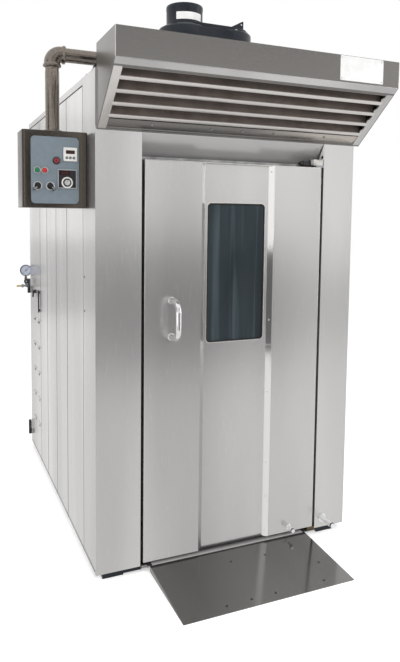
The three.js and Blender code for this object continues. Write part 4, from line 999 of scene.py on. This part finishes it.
def makeBaffle(h):
    left, right, strip, half = h["left"], h["right"], h["strip"], h["edge"] / 2
    up, inward = slopeWays(h)

    # The range between the strips, running under them by a little.
    def between(under):
        return left + strip - under, right - strip + under

    first = h["slats"][0]
    slat = slopeBlock(h, "baffle_slat_1", between(8), (first - half, first + half), h["slatDepth"])
    openMesh(slat)                      # the web folds back from the upper side of the pale edge
    pickFacing(slat, up)
    extrude(up * 2.2 + inward * 1.2)
    for fold in h["folds"]:
        extrude(Vector(fold))
    bpy.ops.mesh.select_all(action="DESELECT")
    pickFacing(slat, -up)
    extrude(inward * 5 - up)
    closeMesh()
    roundEdges(slat, 0.8)
    finishRow(slat, "baffle_slat", [slope(h, 0, place) for place in h["slats"]], "baffleSteel")
    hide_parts("hood_baffle")
    for n, place in enumerate(h["slats"], 1):
        edge = slopeBlock(h, f"slat_edge_{n}", between(4), (place - half, place + half), (0.1, 1))
        stepFaces(edge, -inward, 2, inward * -0.1)
        finishPiece(roundEdges(edge, 0.3), "slatSteel")

    for name, xs, finish in (("baffle_left_strip", (left, left + strip), "slatSteel"),
                             ("baffle_right_strip", (right - strip, right), "doorSteel")):
        piece = slopeBlock(h, name, xs, h["stripRange"], h["stripDepth"])
        if name == "baffle_right_strip":
            aside, above = h["tabAt"]
            for place in h["slats"]:
                spot = slope(h, xs[0] + aside, place + above, h["stripDepth"][0])
                combine(piece, turned("tab", spot, inward, h["tab"], 28), "UNION")
        finishPiece(roundEdges(piece, 1), finish)
    lip = slopeBlock(h["lipSlope"], "hood_lip", *h["lip"])
    rimFaces(lip, -toTop, 1.2, 0.5, -0.2, limit=0.5)
    finishPiece(lip, "doorSteel")
    for name, alongs, depths, step, finish in h["rails"]:
        piece = slopeBlock(h, name, between(3), alongs, depths)
        rimFaces(piece, -inward, 3, 1, step)
        finishPiece(roundEdges(piece, 0.8), finish)
    # the strips of painted highlight along the hood's folded edges
    for n, (sizes, finish) in enumerate(h["edges"], 1):
        finishPiece(box(f"hood_highlight_strip_{n}", sizes, 0.8), finish)

    xs, along, depth = h["bolts"]
    places = [slope(h, x, along, depth) for x in xs]
    finishRow(turned("apron_bolt_1", places[0], -inward, h["bolt"], 6), "apron_bolt", places, "zinc")


def makePlate(h):
    plate = box("name_plate", h["plate"])
    roundAlong(plate, toFront, h["plateCorner"], 4)
    roundEdges(plate, 0.4, 2, 60)
    rimFaces(plate, toFront, *h["plateRim"], limit=0.99)
    finishPiece(plate, "plateWhite")
    x0, x1, _, _, z0, z1 = h["plate"]
    x0, x1, z0, z1 = x0 + h["rivetIn"], x1 - h["rivetIn"], z0 + h["rivetIn"], z1 - h["rivetIn"]
    places = [at(x, h["rivetBase"], z) for x, z in ((x0, z0), (x1, z0), (x1, z1), (x0, z1))]
    finishRow(turned("plate_rivet_1", places[0], toFront, h["rivet"], 20), "plate_rivet", places, "chrome")


makeBaffle(hood)
makePlate(hood)
print("hood made")

blower = {
    "axis": -140,          # y of both axes
    "spigotX": -318,
    "voluteX": -130,
    "foot": 2331.3,
    "spigot": [(0, 107.8), (46, 107.8), (50, 106), (53, 103), (64, 84), (67, 79), (70, 75.4), (74, 74.4),
               (128, 74.4), (130, 75.6), (141, 75.6), (143.4, 74.8), (144.4, 73.6), (144.4, 71.4), (100, 71),
               (98, 70)],
    "volute": [(0, 107.8), (46, 107.8), (50, 106), (53, 101), (55, 91), (64, 91), (67, 90), (68.4, 87), (68.4, 40)],
    "bore": [(90, 70.9), (180, 70.9)],
    "link": (-318, -128, -229, -51, 2333, 2399.6),     # between the two
    "skirt": (-318, -128, -246, -34, 2333, 2380),
    "lug": (-146.5, -85, -218, -212, 2399, 2429),
    "lugTip": 5,
    "lugHole": (8, 13),    # from its right side and from its top
    "bolt": [(0, 6), (3.6, 6), (4.6, 5), (4.6, 2.8), (6.4, 2.8), (7, 2)],
    "bolts": (99, 50, 10),                          # radius, height, count round the ring
    "label": (74.7, 0.4, 2410, 2439, 222, 309),     # radius, thickness, foot, top, first and last degrees
}


def makeBlower(b):
    y, foot = b["axis"], b["foot"]
    middle = at(b["spigotX"], y, foot)
    casing = turned("blower_casing", middle, toTop, b["spigot"], 72)
    combine(casing, turned("volute", at(b["voluteX"], y, foot), toTop, b["volute"], 72), "UNION")
    combine(casing, box("link", b["link"], 2.5, 3), "UNION")
    combine(casing, box("skirt", b["skirt"], 2.5), "UNION")
    combine(casing, turned("bore", middle, toTop, b["bore"], 72), "DIFFERENCE")
    finishPiece(casing, "blackPaint", replaces=["blower_housing"])

    x0, x1, y0, y1, z0, z1 = b["lug"]
    lug = box("blower_lug", b["lug"])
    openMesh(lug, "EDGE")                # its left side leans up to the tip
    corner = at(x0 + 2, 0, z1 - 1)
    pickEdges(lug, lambda mid, way: abs(way.y) > 0.9 and mid.z > corner.z and mid.x < corner.x)
    bpy.ops.transform.translate(value=toRight * (x1 - x0 - b["lugTip"]) * mm)
    closeMesh()
    aside, below = b["lugHole"]
    hole = turned("hole", at(x1 - aside, y0 - 4, z1 - below), -toFront, [(0, 3.6), (14, 3.6)], 20)
    combine(lug, hole, "DIFFERENCE")
    finishPiece(roundEdges(lug, 0.8), "blackPaint")

    radius, height, count = b["bolts"]
    for n in range(1, count + 1):
        angle = 2 * math.pi * (n + 0.5) / count
        if math.cos(angle) < -0.55:      # the casing runs on to the spigot there
            continue
        place = at(b["voluteX"] + math.cos(angle) * radius, y + math.sin(angle) * radius, foot + height)
        finishPiece(turned(f"blower_screw_{n}", place, toTop, b["bolt"], 6), "zinc")

    radius, thickness, z0, z1, first, last = b["label"]
    label = primitive("blower_label", bpy.ops.mesh.primitive_cylinder_add, vertices=120, radius=radius * mm,
                      depth=(z1 - z0) * mm, end_fill_type="NOTHING", location=at(b["spigotX"], y, (z0 + z1) / 2))
    openMesh(label)
    pickFaces(label, lambda mid, normal: not first < math.degrees(
        math.atan2(mid.y - middle.y, mid.x - middle.x)) % 360 < last)
    bpy.ops.mesh.delete(type="FACE")
    closeMesh()
    modify(label, "SOLIDIFY", thickness=thickness * mm, offset=1)
    finishPiece(label, "plateWhite")


makeBlower(blower)
print("blower made")

door = {
    "fold": (176, 200, 19),        # the right fold: x where it starts and ends, and how deep it starts
    "shift": (6, -5),              # of the trim strip, from where the fold starts: x, y
    "strips": {"trim_strip_lower": (47, 1007.4), "trim_strip_upper": (1008.6, 1865)},
    "thick": 1.6,
    "lip": (4, 7.6, -5.6, 0.4),    # x and y range of the strip's bright lip, from the end of the fold
    "screwHeights": (76, 422, 776, 1129, 1482, 1835),
    "screw": [(-0.4, 4.4), (0.5, 4.4), (1.3, 3.6), (1.6, 2.4), (1.6, 1.5), (0.9, 1.3)],
    "sweep": (-436, 467, 4, 60, 39.5, 45.8),   # rubber under the door
    "sweepLip": (18, 0.35),        # y of its lip, how narrow
    # painted highlights: strips of lighter steel along the door's edges, standing in for their highlights
    "edges": ((-439, -436.4, -0.4, 1.2, 47, 1865), (467.4, 470, -0.4, 1.2, 47, 1865),
              (-436, 467, -0.4, 1.2, 1861.6, 1866)),
}
stubs = {
    "door_bumper": {
        "place": (328, 70), "body": "door", "sides": 32, "tipAt": 38,
        "rod": [(0, 9.6), (30, 9.4), (31, 10.6), (33, 10.6), (34, 9.6), (46, 9.6), (48.6, 8.4), (49.8, 6.0)],
        "ring": [(0, 15), (2.4, 15), (3.4, 14), (3.4, 9.8)],
        "tip": [(0, 10.4), (1, 11), (6, 11), (7, 10.4)],
    },
    "post_stop": {
        "place": (530, 80), "body": "oven_body", "sides": 36, "tipAt": 84,
        "rod": [(0, 12.4), (60, 11.8), (61, 12.8), (84, 12.8), (95.4, 11.6), (97.6, 8.2)],
        "ring": [(0, 22.6), (3, 22.6), (4.6, 21), (4.6, 13)],
        "tip": [(0, 13), (1, 13.9), (7, 13.9), (8, 13)],
    },
}


def makeDoorTrim(d):
    x0, x1, deep = d["fold"]
    dx, dy = d["shift"]
    run = Vector((x1 - x0, -deep, 0)).normalized()     # across the fold, coming forward to the right
    out = Vector((run.y, -run.x, 0))                   # away from the fold
    turn = Matrix((run, out, toTop)).transposed().to_4x4()
    for name, (foot, top) in d["strips"].items():
        wide = math.hypot(x1 - x0, deep) - 1
        strip = block(name, Vector((1, 0, foot)) * mm, Vector((wide, d["thick"], top)) * mm)
        stepFaces(strip, -toFront, 2.4, -toFront * 0.5)
        strip.data.transform(Matrix.Translation(at(x0 + dx, deep + dy, 0)) @ turn)
        roundEdges(strip, 0.5)
        lip = box("lip", (*d["lip"], foot, top), 0.8, about=(x1, 0, 0))
        finishPiece(join(name, [strip, lip]), "trimSteel", "door", smooth=10)
    places = [at((x0 + x1) / 2 + dx, deep / 2 + dy, z) + out * d["thick"] * mm for z in d["screwHeights"]]
    finishRow(turned("trim_screw_1", places[0], out, d["screw"], 20), "trim_screw", places, "chrome", "door")

    y, narrow = d["sweepLip"]
    sweep = box("door_sweep", d["sweep"])
    openMesh(sweep)                     # it narrows towards the floor
    pickFacing(sweep, -toTop)
    bpy.ops.transform.resize(value=(1, narrow, 1), center_override=at(0, y, d["sweep"][4]))
    closeMesh()
    finishPiece(roundEdges(sweep, 1.5), "rubber", "door")


def makeStub(name, s):
    x, z = s["place"]
    # the rods take the half-white chrome, a painted highlight
    for part, finish, reach in (("rod", "highlightChrome", 0.4), ("ring", "chrome", 0.4),
                                ("tip", "darkChrome", s["tipAt"])):
        piece = turned(f"{name}_{part}", at(x, -reach, z), toFront, s[part], s["sides"])
        finishPiece(piece, finish, s["body"], replaces=[name] if part == "rod" else ())


makeDoorTrim(door)
for name, stub in stubs.items():
    makeStub(name, stub)
# the strips of painted highlight along the door's edges
for n, sizes in enumerate(door["edges"], 1):
    finishPiece(box(f"door_highlight_strip_{n}", sizes, 0.6), "slatSteel", "door")
print("door trim made")

window = {
    "outer": (-130, 168, 1037, 1683),  # left, right, foot, top
    "corner": 18,
    "rim": 5.5,
    "seal": (15.8, 74.8),              # front and back of the rubber
    "pane": (20, 25),
    "paneIn": 2,                       # how far the pane reaches into the rubber
    "border": (18.1, 19.4),            # bright folded border of the sheet round the seal
    "borderWidth": 4,
    "borderGap": 0.6,
}


def windowBox(w, name, grow, near, far, corner, segments=8):
    left, right, foot, top = w["outer"]
    obj = box(name, (left - grow, right + grow, near, far, foot - grow, top + grow))
    roundAlong(obj, toFront, corner, segments)
    return obj


def makeWindow(w):
    corner, rim, wide = w["corner"], w["rim"], w["borderWidth"]
    seal = windowBox(w, "window_seal", 0, *w["seal"], corner)
    combine(seal, windowBox(w, "opening", -rim, -20, 120, corner - rim), "DIFFERENCE")
    finishPiece(roundEdges(seal, 1.4, 3, 60), "rubber", "door", replaces=["window_frame"])
    pane = windowBox(w, "window_pane", w["paneIn"] - rim, *w["pane"], corner - rim, 6)
    finishPiece(roundEdges(pane, 0.6, 2, 60), "glass", "door", replaces=["window_glass"])
    border = windowBox(w, "window_border", wide, *w["border"], corner + wide)
    combine(border, windowBox(w, "hole", -w["borderGap"], 0, 60, corner), "DIFFERENCE")
    finishPiece(roundEdges(border, 0.5, 2, 60), "slatSteel", "door")


makeWindow(window)
print("window made")

side = {
    "face": -659,
    "seams": ((225, 3), (582, 7), (870, 5), (1155, 7), (1397, 5.5)),   # y and width of the dark lines: the seams' joints, widened as painted shade
    "seamHeights": (36, 2199),
    "lines": ((232, 1780, 2196, 2203), (8, 1780, 45, 50)),   # y, y, z, z: painted shadow under the roof's lip and painted shade along the foot
    "screws": ((198, 1342), (198, 1186)),
    "screw": [(0, 4.6), (0.8, 4.6), (1.8, 3.6), (2.2, 2.2), (2.2, 1.6), (1.2, 1.4)],
    "clamps": ((-657, -600, 12, 44, 2233.2, 2246), (-656, -610, 58, 76, 2233.2, 2239),
               (-656, -620, 186, 204, 2233.2, 2236)),
    "clampStep": (5, 9),
    "pullY": 1432,
    "pull": (-11, -3.5, -7, 7, 1000, 1143),
    "brackets": (1014, 1129),
    "bracket": (-5, -0.2, -5, 5, -7, 7),
    "latch": (1590.3, 1118),
    "latchHub": [(0.3, 12.6), (3.3, 12.6), (4.3, 11.6), (9.3, 11.4), (11.9, 10.6), (12.7, 9)],
    "latchLever": (-19.8, -9, -5, 5, -44, 7),
    "latchTurn": 30,
    "vents": ((1478.3, 1634.3), (252, 422, 592, 762, 932)),
    "vent": (-8, 0.4, -37, 37, 5, 15),
    "hinge": (-671, 1797),
    "sleeves": ((90, "oven_body"), (140.2, "service_door_leaf"),
                (1085, "oven_body"), (1135.2, "service_door_leaf")),
    "sleeve": [(0, 8.4), (0.5, 10.7), (22, 10.7), (22.6, 10.2), (23.4, 10.2), (24, 10.7), (49, 10.7), (49.5, 8.8)],
}


def makeVents(s):
    face, (columns, rows) = s["face"], s["vents"]
    vent = box("vent_1", s["vent"], about=(face, columns[0], rows[0]))
    openMesh(vent, "EDGE")              # its upper outer edge is round
    corner = at(face - 7, 0, rows[0] + 14)
    pickEdges(vent, lambda mid, way: abs(way.y) > 0.9 and mid.x < corner.x and mid.z > corner.z)
    bpy.ops.mesh.bevel(offset=6.5 * mm, segments=5, affect="EDGES")
    closeMesh()
    stepFaces(vent, -toTop, 1.2, toTop * 6)
    finishRow(vent, "vent", [at(face, y, z) for y in columns for z in rows], "sideSteel", "service_door_leaf")


def makeSide(s):
    face, (low, high) = s["face"], s["seamHeights"]
    makeLines("side_seam_shade", [(face - 0.3, face + 3.2, y - width / 2, y + width / 2, low, high)
                            for y, width in s["seams"]])
    makeLines("side_shadow_line", [(face - 0.4, face + 1.5, *sizes) for sizes in s["lines"]])
    places = [at(face, y, z) for y, z in s["screws"]]
    finishRow(turned("post_screw_1", places[0], -toRight, s["screw"], 20), "post_screw", places, "darkChrome")
    border, rise = s["clampStep"]
    for n, sizes in enumerate(s["clamps"], 1):
        clamp = box(f"roof_clamp_{n}", sizes)
        stepFaces(clamp, toTop, border, toTop * rise)
        finishPiece(roundEdges(clamp, 1.2), "blackPaint")

    pull = [box("service_pull", s["pull"], 2.6, 3, (face, s["pullY"], 0))]
    pull += [box("bracket", s["bracket"], 1.2, 2, (face, s["pullY"], z)) for z in s["brackets"]]
    finishPiece(join("service_pull", pull), "blackPlastic", "service_door_leaf")
    y, z = s["latch"]
    hub = turned("service_latch_hub", at(face, y, z), -toRight, s["latchHub"])
    lever = box("lever", s["latchLever"], 2.4, 3, (face, y, z))
    turnAbout(lever, at(0, y, z), s["latchTurn"], "X")
    latch = join("service_latch_hub", [hub, lever])
    finishPiece(latch, "blackPlastic", "service_door_latch", replaces=["service_latch"])


def makeServiceHinges(s):
    for n, (foot, body) in enumerate(s["sleeves"], 1):
        sleeve = turned(f"service_hinge_sleeve_{n}", at(*s["hinge"], foot), toTop, s["sleeve"])
        finishPiece(sleeve, "blackPaint", body)


makeSide(side)
makeVents(side)
makeServiceHinges(side)
print("left side made")

inlet = {
    "place": (-686, 1842, 1130),
    "gauge": (-686, 1842, 1238),
    # profiles of the pipe: where each starts from the inlet's place, the way it goes, sides, profile
    "pipes": (((-16, 0, 0), toRight, 32, [(0, 7), (14, 7.4), (16, 10.4), (20, 11), (50, 11), (52, 9.6), (60, 9.6),
                                          (62, 11), (84, 11)]),
              ((85, 0, 0), toFront, 32, [(0, 11), (28.4, 11), (28.8, 21.4), (31, 21.8), (31.6, 21)]),
              ((68, 0, 0), toRight, 32, [(0, 11), (26, 11), (28, 9)]),
              ((0, 0, 0), toTop, 28, [(0, 8), (22, 8), (24, 10.4), (44, 10.4), (46.4, 8), (47.8, 7)]),
              ((0, 0, 34), toFront, 28, [(0, 9), (8, 10.8), (18, 10.8), (20, 10), (22, 8)])),
    "case": [(0, 30), (1.5, 35), (4, 37.6), (7, 38.4), (21.5, 38.4), (22.5, 39.8), (28.6, 39.8), (29.8, 39),
             (29.8, 36.4), (24, 35.9)],
    "neck": [(0, 8.4), (1, 10.4), (9, 10.4), (10, 8.6), (11, 7.4), (21, 7.4)],
    "dial": [(0, 35.4), (0.15, 35.4)],
    "ticks": 31,
    "longTick": (-0.7, 0.7, -9.3, -9.14, 26, 33.4),
    "shortTick": (-0.35, 0.35, -9.3, -9.14, 29, 33.4),
    "sweep": (-135, 135),      # of the scale, degrees
    "hub": [(0, 4.2), (0.5, 4.2), (0.8, 3.4), (0.8, 2)],
    "pointer": (-1.5, 1.5, -10.4, -9.6, -24, 28),
    "nipple": [(0, 4.6), (1, 5.8), (9, 6.9), (9.4, 5.6), (17, 6.9), (17.4, 5.6), (25, 6.9), (25.4, 5.6), (36, 5.6)],
    "nuts": (-29, 15),
    "nut": [(0, 10.6), (1.4, 12.4), (12, 12.4), (13.4, 10.6)],
    "knob": [(0, 14), (0.8, 16), (2, 16.9), (7.4, 16.9), (8.8, 16), (9.8, 13.4), (9.4, 12), (8.4, 11)],
    "knobScrew": [(0, 4.6), (1.2, 4.6), (1.5, 3.8), (1.5, 1.2)],
}


def makeGauge(i):
    (x, y, z), (first, last) = i["gauge"], i["sweep"]
    centre = at(x, y, z)
    case = turned("gauge_case", at(x, y + 15, z), toFront, i["case"], 56)
    finishPiece(case, "darkChrome", replaces=["pressure_gauge"])
    neck = turned("gauge_neck", at(x, y, i["place"][2] + 48.3), toTop, i["neck"], 6)
    finishPiece(neck, "darkBrass")
    finishPiece(turned("gauge_dial", at(x, y - 9, z), toFront, i["dial"], 56), "dialWhite")
    ticks = []
    for step in range(i["ticks"]):
        tick = box("gauge_ticks", i["shortTick" if step % 5 else "longTick"], about=i["gauge"])
        turnAbout(tick, centre, first + (last - first) * step / (i["ticks"] - 1), "Y")
        ticks.append(tick)
    finishPiece(join("gauge_ticks", ticks), "blackPlastic")

    hub = turned("gauge_pointer", at(x, y - 9.4, z), toFront, i["hub"], 24)
    arm = box("arm", i["pointer"], about=i["gauge"])
    openMesh(arm)
    pickFacing(arm, toTop)
    bpy.ops.transform.resize(value=(0.2, 1, 1), center_override=at(x, y - 10, z + i["pointer"][5]))
    closeMesh()
    turnAbout(arm, centre, first, "Y")
    finishPiece(join("gauge_pointer", [hub, arm]), "blackPlastic", "pressure_needle", replaces=["gauge_needle"])


def makeInlet(i):
    x, y, z = i["place"]
    finishPiece(turned("inlet_nipple", at(x - 62, y, z), toRight, i["nipple"], 28), "brass")
    places = [at(x + dx, y, z) for dx in i["nuts"]]
    finishRow(turned("inlet_nut_1", places[0], toRight, i["nut"], 6), "inlet_nut", places, "zinc")
    pipes = [turned("inlet_pipe", at(x + dx, y + dy, z + dz), way, profile, sides)
             for (dx, dy, dz), way, sides, profile in i["pipes"]]
    finishPiece(join("inlet_pipe", pipes), "zinc", replaces=["steam_manifold"])
    z += i["pipes"][-1][0][2]
    knob = turned("inlet_knob", at(x, y - 22.3, z), toFront, i["knob"], 12)
    finishPiece(roundEdges(knob, 0.7), "darkChrome", "water_valve", replaces=["valve_knob"])
    screw = turned("inlet_knob_screw", at(x, y - 30.8, z), toFront, i["knobScrew"], 20)
    finishPiece(screw, "chrome", "water_valve")


makeGauge(inlet)
makeInlet(inlet)
print("water inlet made")

skids = {
    # the black skid ends under the posts
    "noses": ((-624, -527, 18, 50, 0.2, 32), (-527, -405, 15, 50, 9, 32), (507, 612, 16, 50, 0.2, 32)),
    "tab": (-446, -420, 2, 15, 14, 31),
    "sill": (-396, 409, -4.6, 34, 28.2, 30.4),
    "seal": (-436, 376, 52, 70, 1868.5, 1883),      # under the header
    "rampSlope": (-412.3, 2, 26 / 407),      # where it starts: y, z, and its rise
    "rampScrews": ((-44, -103), (133, -109), (343, -247), (288, -368), (39, -369), (-79, -369), (-197, -371)),
    "rampScrew": [(0, 5.4), (0.5, 5.4), (0.9, 4.4), (0.9, 2.4), (0.4, 2.2)],
}
upperHinge = {
    "arm": (426, 483.4, 3, 33, 1875, 1905),
    "armEnd": (413, 426, 5, 31, 1878, 1903),
    "catch": (378, 413, 14, 44, 1874, 1897),
    "catchReach": 16,
    "gusset": (481.6, 483.6, 0.6, 43, 1906, 1975.6),
    "gussetLean": 40,
    "gussetLine": (478.6, 483.7, -0.4, 2.4, 1909, 1978),
    "lineLean": 43,
    "boltAt": (481.4, 9, 1917),
    "bolt": [(0, 8.4), (1.6, 8.4), (2.6, 7.2), (2.6, 5), (5, 5), (6, 4)],
}


def makeSkids(s):
    for n, sizes in enumerate(s["noses"], 1):
        nose = box(f"skid_nose_{n}", sizes)
        stepFaces(nose, toFront, 2.4, -toFront * 1.4)
        finishPiece(roundEdges(nose, 0.8), "blackPaint")
    finishPiece(box("foot_tab", s["tab"], 1.2), "slatSteel")


def makeSill(s):
    sill = box("sill_strip", s["sill"])
    stepFaces(sill, toTop, 2.4, toTop * 0.4)
    finishPiece(sill, "sillSteel")
    seal = box("header_seal", s["seal"])
    roundAlong(seal, toRight, 5, 5)
    finishPiece(seal, "rope")
    y0, z0, rise = s["rampSlope"]
    places = [at(x, y, z0 + rise * (y - y0)) for x, y in s["rampScrews"]]
    finishRow(turned("ramp_screw_1", places[0], toTop, s["rampScrew"], 20), "ramp_screw", places, "blackPaint")


def makeUpperHinge(u):
    arm = box("hinge_arm", u["arm"])
    roundAlong(arm, toFront, 2, 3)
    finishPiece(roundEdges(arm, 0.8, 2, 60), "slatSteel")
    finishPiece(box("hinge_arm_end", u["armEnd"], 1), "zinc")
    # the catch, in the shadow_line finish, also stands in for the hinge's dark reflection on the header's slope: a
    # painted reflection
    catch = box("hinge_catch_dark_reflection", u["catch"])
    stepFaces(catch, -toRight, 4, -toRight * u["catchReach"])
    finishPiece(roundEdges(catch, 1.4), "shadowLine")
    gusset = box("hinge_gusset", u["gusset"])
    openMesh(gusset, "EDGE")             # its back edge leans with the header's slope
    corner = at(0, 30, 1970)
    pickEdges(gusset, lambda mid, way: abs(way.x) > 0.9 and mid.z > corner.z and mid.y > corner.y)
    bpy.ops.transform.translate(value=toFront * u["gussetLean"] * mm)
    closeMesh()
    finishPiece(roundEdges(gusset, 0.5), "plateWhite")
    # painted shade: a dark line along the end of the header's slope
    line = box("header_end_shadow", u["gussetLine"])
    openMesh(line)
    pickFacing(line, -toTop)
    bpy.ops.transform.translate(value=toFront * -u["lineLean"] * mm)
    closeMesh()
    finishPiece(line, "shadowLine")
    finishPiece(turned("hinge_bolt", at(*u["boltAt"]), -toRight, u["bolt"], 6), "blackPaint")


makeSkids(skids)
makeUpperHinge(upperHinge)
makeSill(skids)
print("skids, upper hinge and ramp screws made")

farSides = {
    "right": 659,
    # painted shade: the seams' dark lines widened, and painted shadow under the roof's lip and along the foot, on
    # the right side and the back
    "seams": ((225, 3), (582, 5), (870, 5), (1155, 5), (1397, 5), (1785, 3)),
    "seamHeights": (36, 2199),
    "lines": ((232, 1780, 2197, 2203), (8, 1780, 42, 46)),
    "back": 1810,
    "backLines": ((-640, 640, 2197, 2203), (-640, 640, 42, 46)),
    "backScrews": ((-600, -200, 200, 600), (90, 620, 1150, 1680, 2150)),
    "screw": [(0, 6.4), (0.8, 6.4), (2.4, 5), (3, 3), (3, 1.8), (1.8, 1.6)],
}
drive = {
    "place": (15.5, 650, 2233.4),        # middle and foot of the gear motor
    "base": (-112, 112, -112, 112, 0, 9),
    "opening": (-84, 84, -84, 84, -4, 13),
    "bolts": (98, 9),                    # how far from the axis, height
    "bolt": [(0, 9), (6, 9), (7.4, 7.6), (7.4, 4.6), (10, 4.4), (11, 3)],
    "lidAt": 2353.5,
    "lid": [(0, 62), (5, 62), (7, 60), (7, 26), (12, 24), (13, 20)],
    "motorLevel": 2298.3,
    "motorStart": 101,
    "motor": [(0, 78), (10, 78), (12, 66)],
    "fins": 9,
    "fin": (75.5, 66.5, 12.5, 4),        # outer and inner radius, pitch, thickness
    "finStart": 14,
    "cowlStart": 172,
    "cowl": [(0, 72), (2, 74), (44, 74), (52, 70), (58, 60), (58, 34), (55, 32), (55, 6), (56, 4)],
    "terminal": (176, 256, 590, 660, 2362, 2404),
    "glandAt": (216, 590, 2387),
    "gland": [(0, 13), (3, 15), (12, 15), (14, 12), (22, 11), (22, 7)],
}


def makeFarSides(f):
    right, back, (low, high) = f["right"], f["back"], f["seamHeights"]
    makeLines("right_seam_shade", [(right - 3.4, right + 0.3, y - width / 2, y + width / 2, low, high)
                             for y, width in f["seams"]])
    makeLines("right_line", [(right - 1.5, right + 0.4, *sizes) for sizes in f["lines"]])
    makeLines("back_shadow_line", [(x0, x1, back - 2, back + 0.4, z0, z1) for x0, x1, z0, z1 in f["backLines"]])
    columns, rows = f["backScrews"]
    places = [at(x, back, z) for x in columns for z in rows
              if x in (columns[0], columns[-1]) or z in (rows[0], rows[-1])]
    finishRow(turned("back_screw_1", places[0], -toFront, f["screw"], 20), "back_screw", places, "zinc")


def makeDrive(d):
    x, y, foot = d["place"]
    base = box("drive_base", d["base"], about=d["place"])
    combine(base, box("opening", d["opening"], about=d["place"]), "DIFFERENCE")
    finishPiece(roundEdges(base, 1.4), "grayPaint")
    out, height = d["bolts"]
    places = [at(x + dx * out, y + dy * out, foot + height) for dx, dy in ((-1, -1), (1, -1), (1, 1), (-1, 1))]
    finishRow(turned("drive_bolt_1", places[0], toTop, d["bolt"], 6), "drive_bolt", places, "zinc")
    finishPiece(turned("drive_lid", at(x, y, d["lidAt"]), toTop, d["lid"], 48), "grayPaint")

    level, start, (outer, inner, pitch, thick) = d["motorLevel"], d["motorStart"], d["fin"]
    collar = turned("drive_collar", at(start, y, level), toRight, d["motor"], 48)
    fins = [(0, inner)]
    for n in range(d["fins"]):
        near = thick + n * pitch
        fins += [(near, inner), (near, outer), (near + thick, outer), (near + thick, inner)]
    ribs = turned("ribs", at(start + d["finStart"], y, level), toRight, fins, 48)
    finishPiece(join("drive_fins", [collar, ribs]), "grayPaint", smooth=30)
    cowl = turned("drive_cowl", at(start + d["cowlStart"], y, level), toRight, d["cowl"], 48)
    finishPiece(cowl, "blackPaint", smooth=30)
    terminal = box("drive_terminal_box", d["terminal"])
    stepFaces(terminal, toTop, 3, toTop * 5)
    finishPiece(roundEdges(terminal, 2, 3), "blackPaint")
    finishPiece(turned("drive_gland", at(*d["glandAt"]), toFront, d["gland"], 24), "blackPlastic")


makeFarSides(farSides)
makeDrive(drive)
print("right side, back and gear motor made")
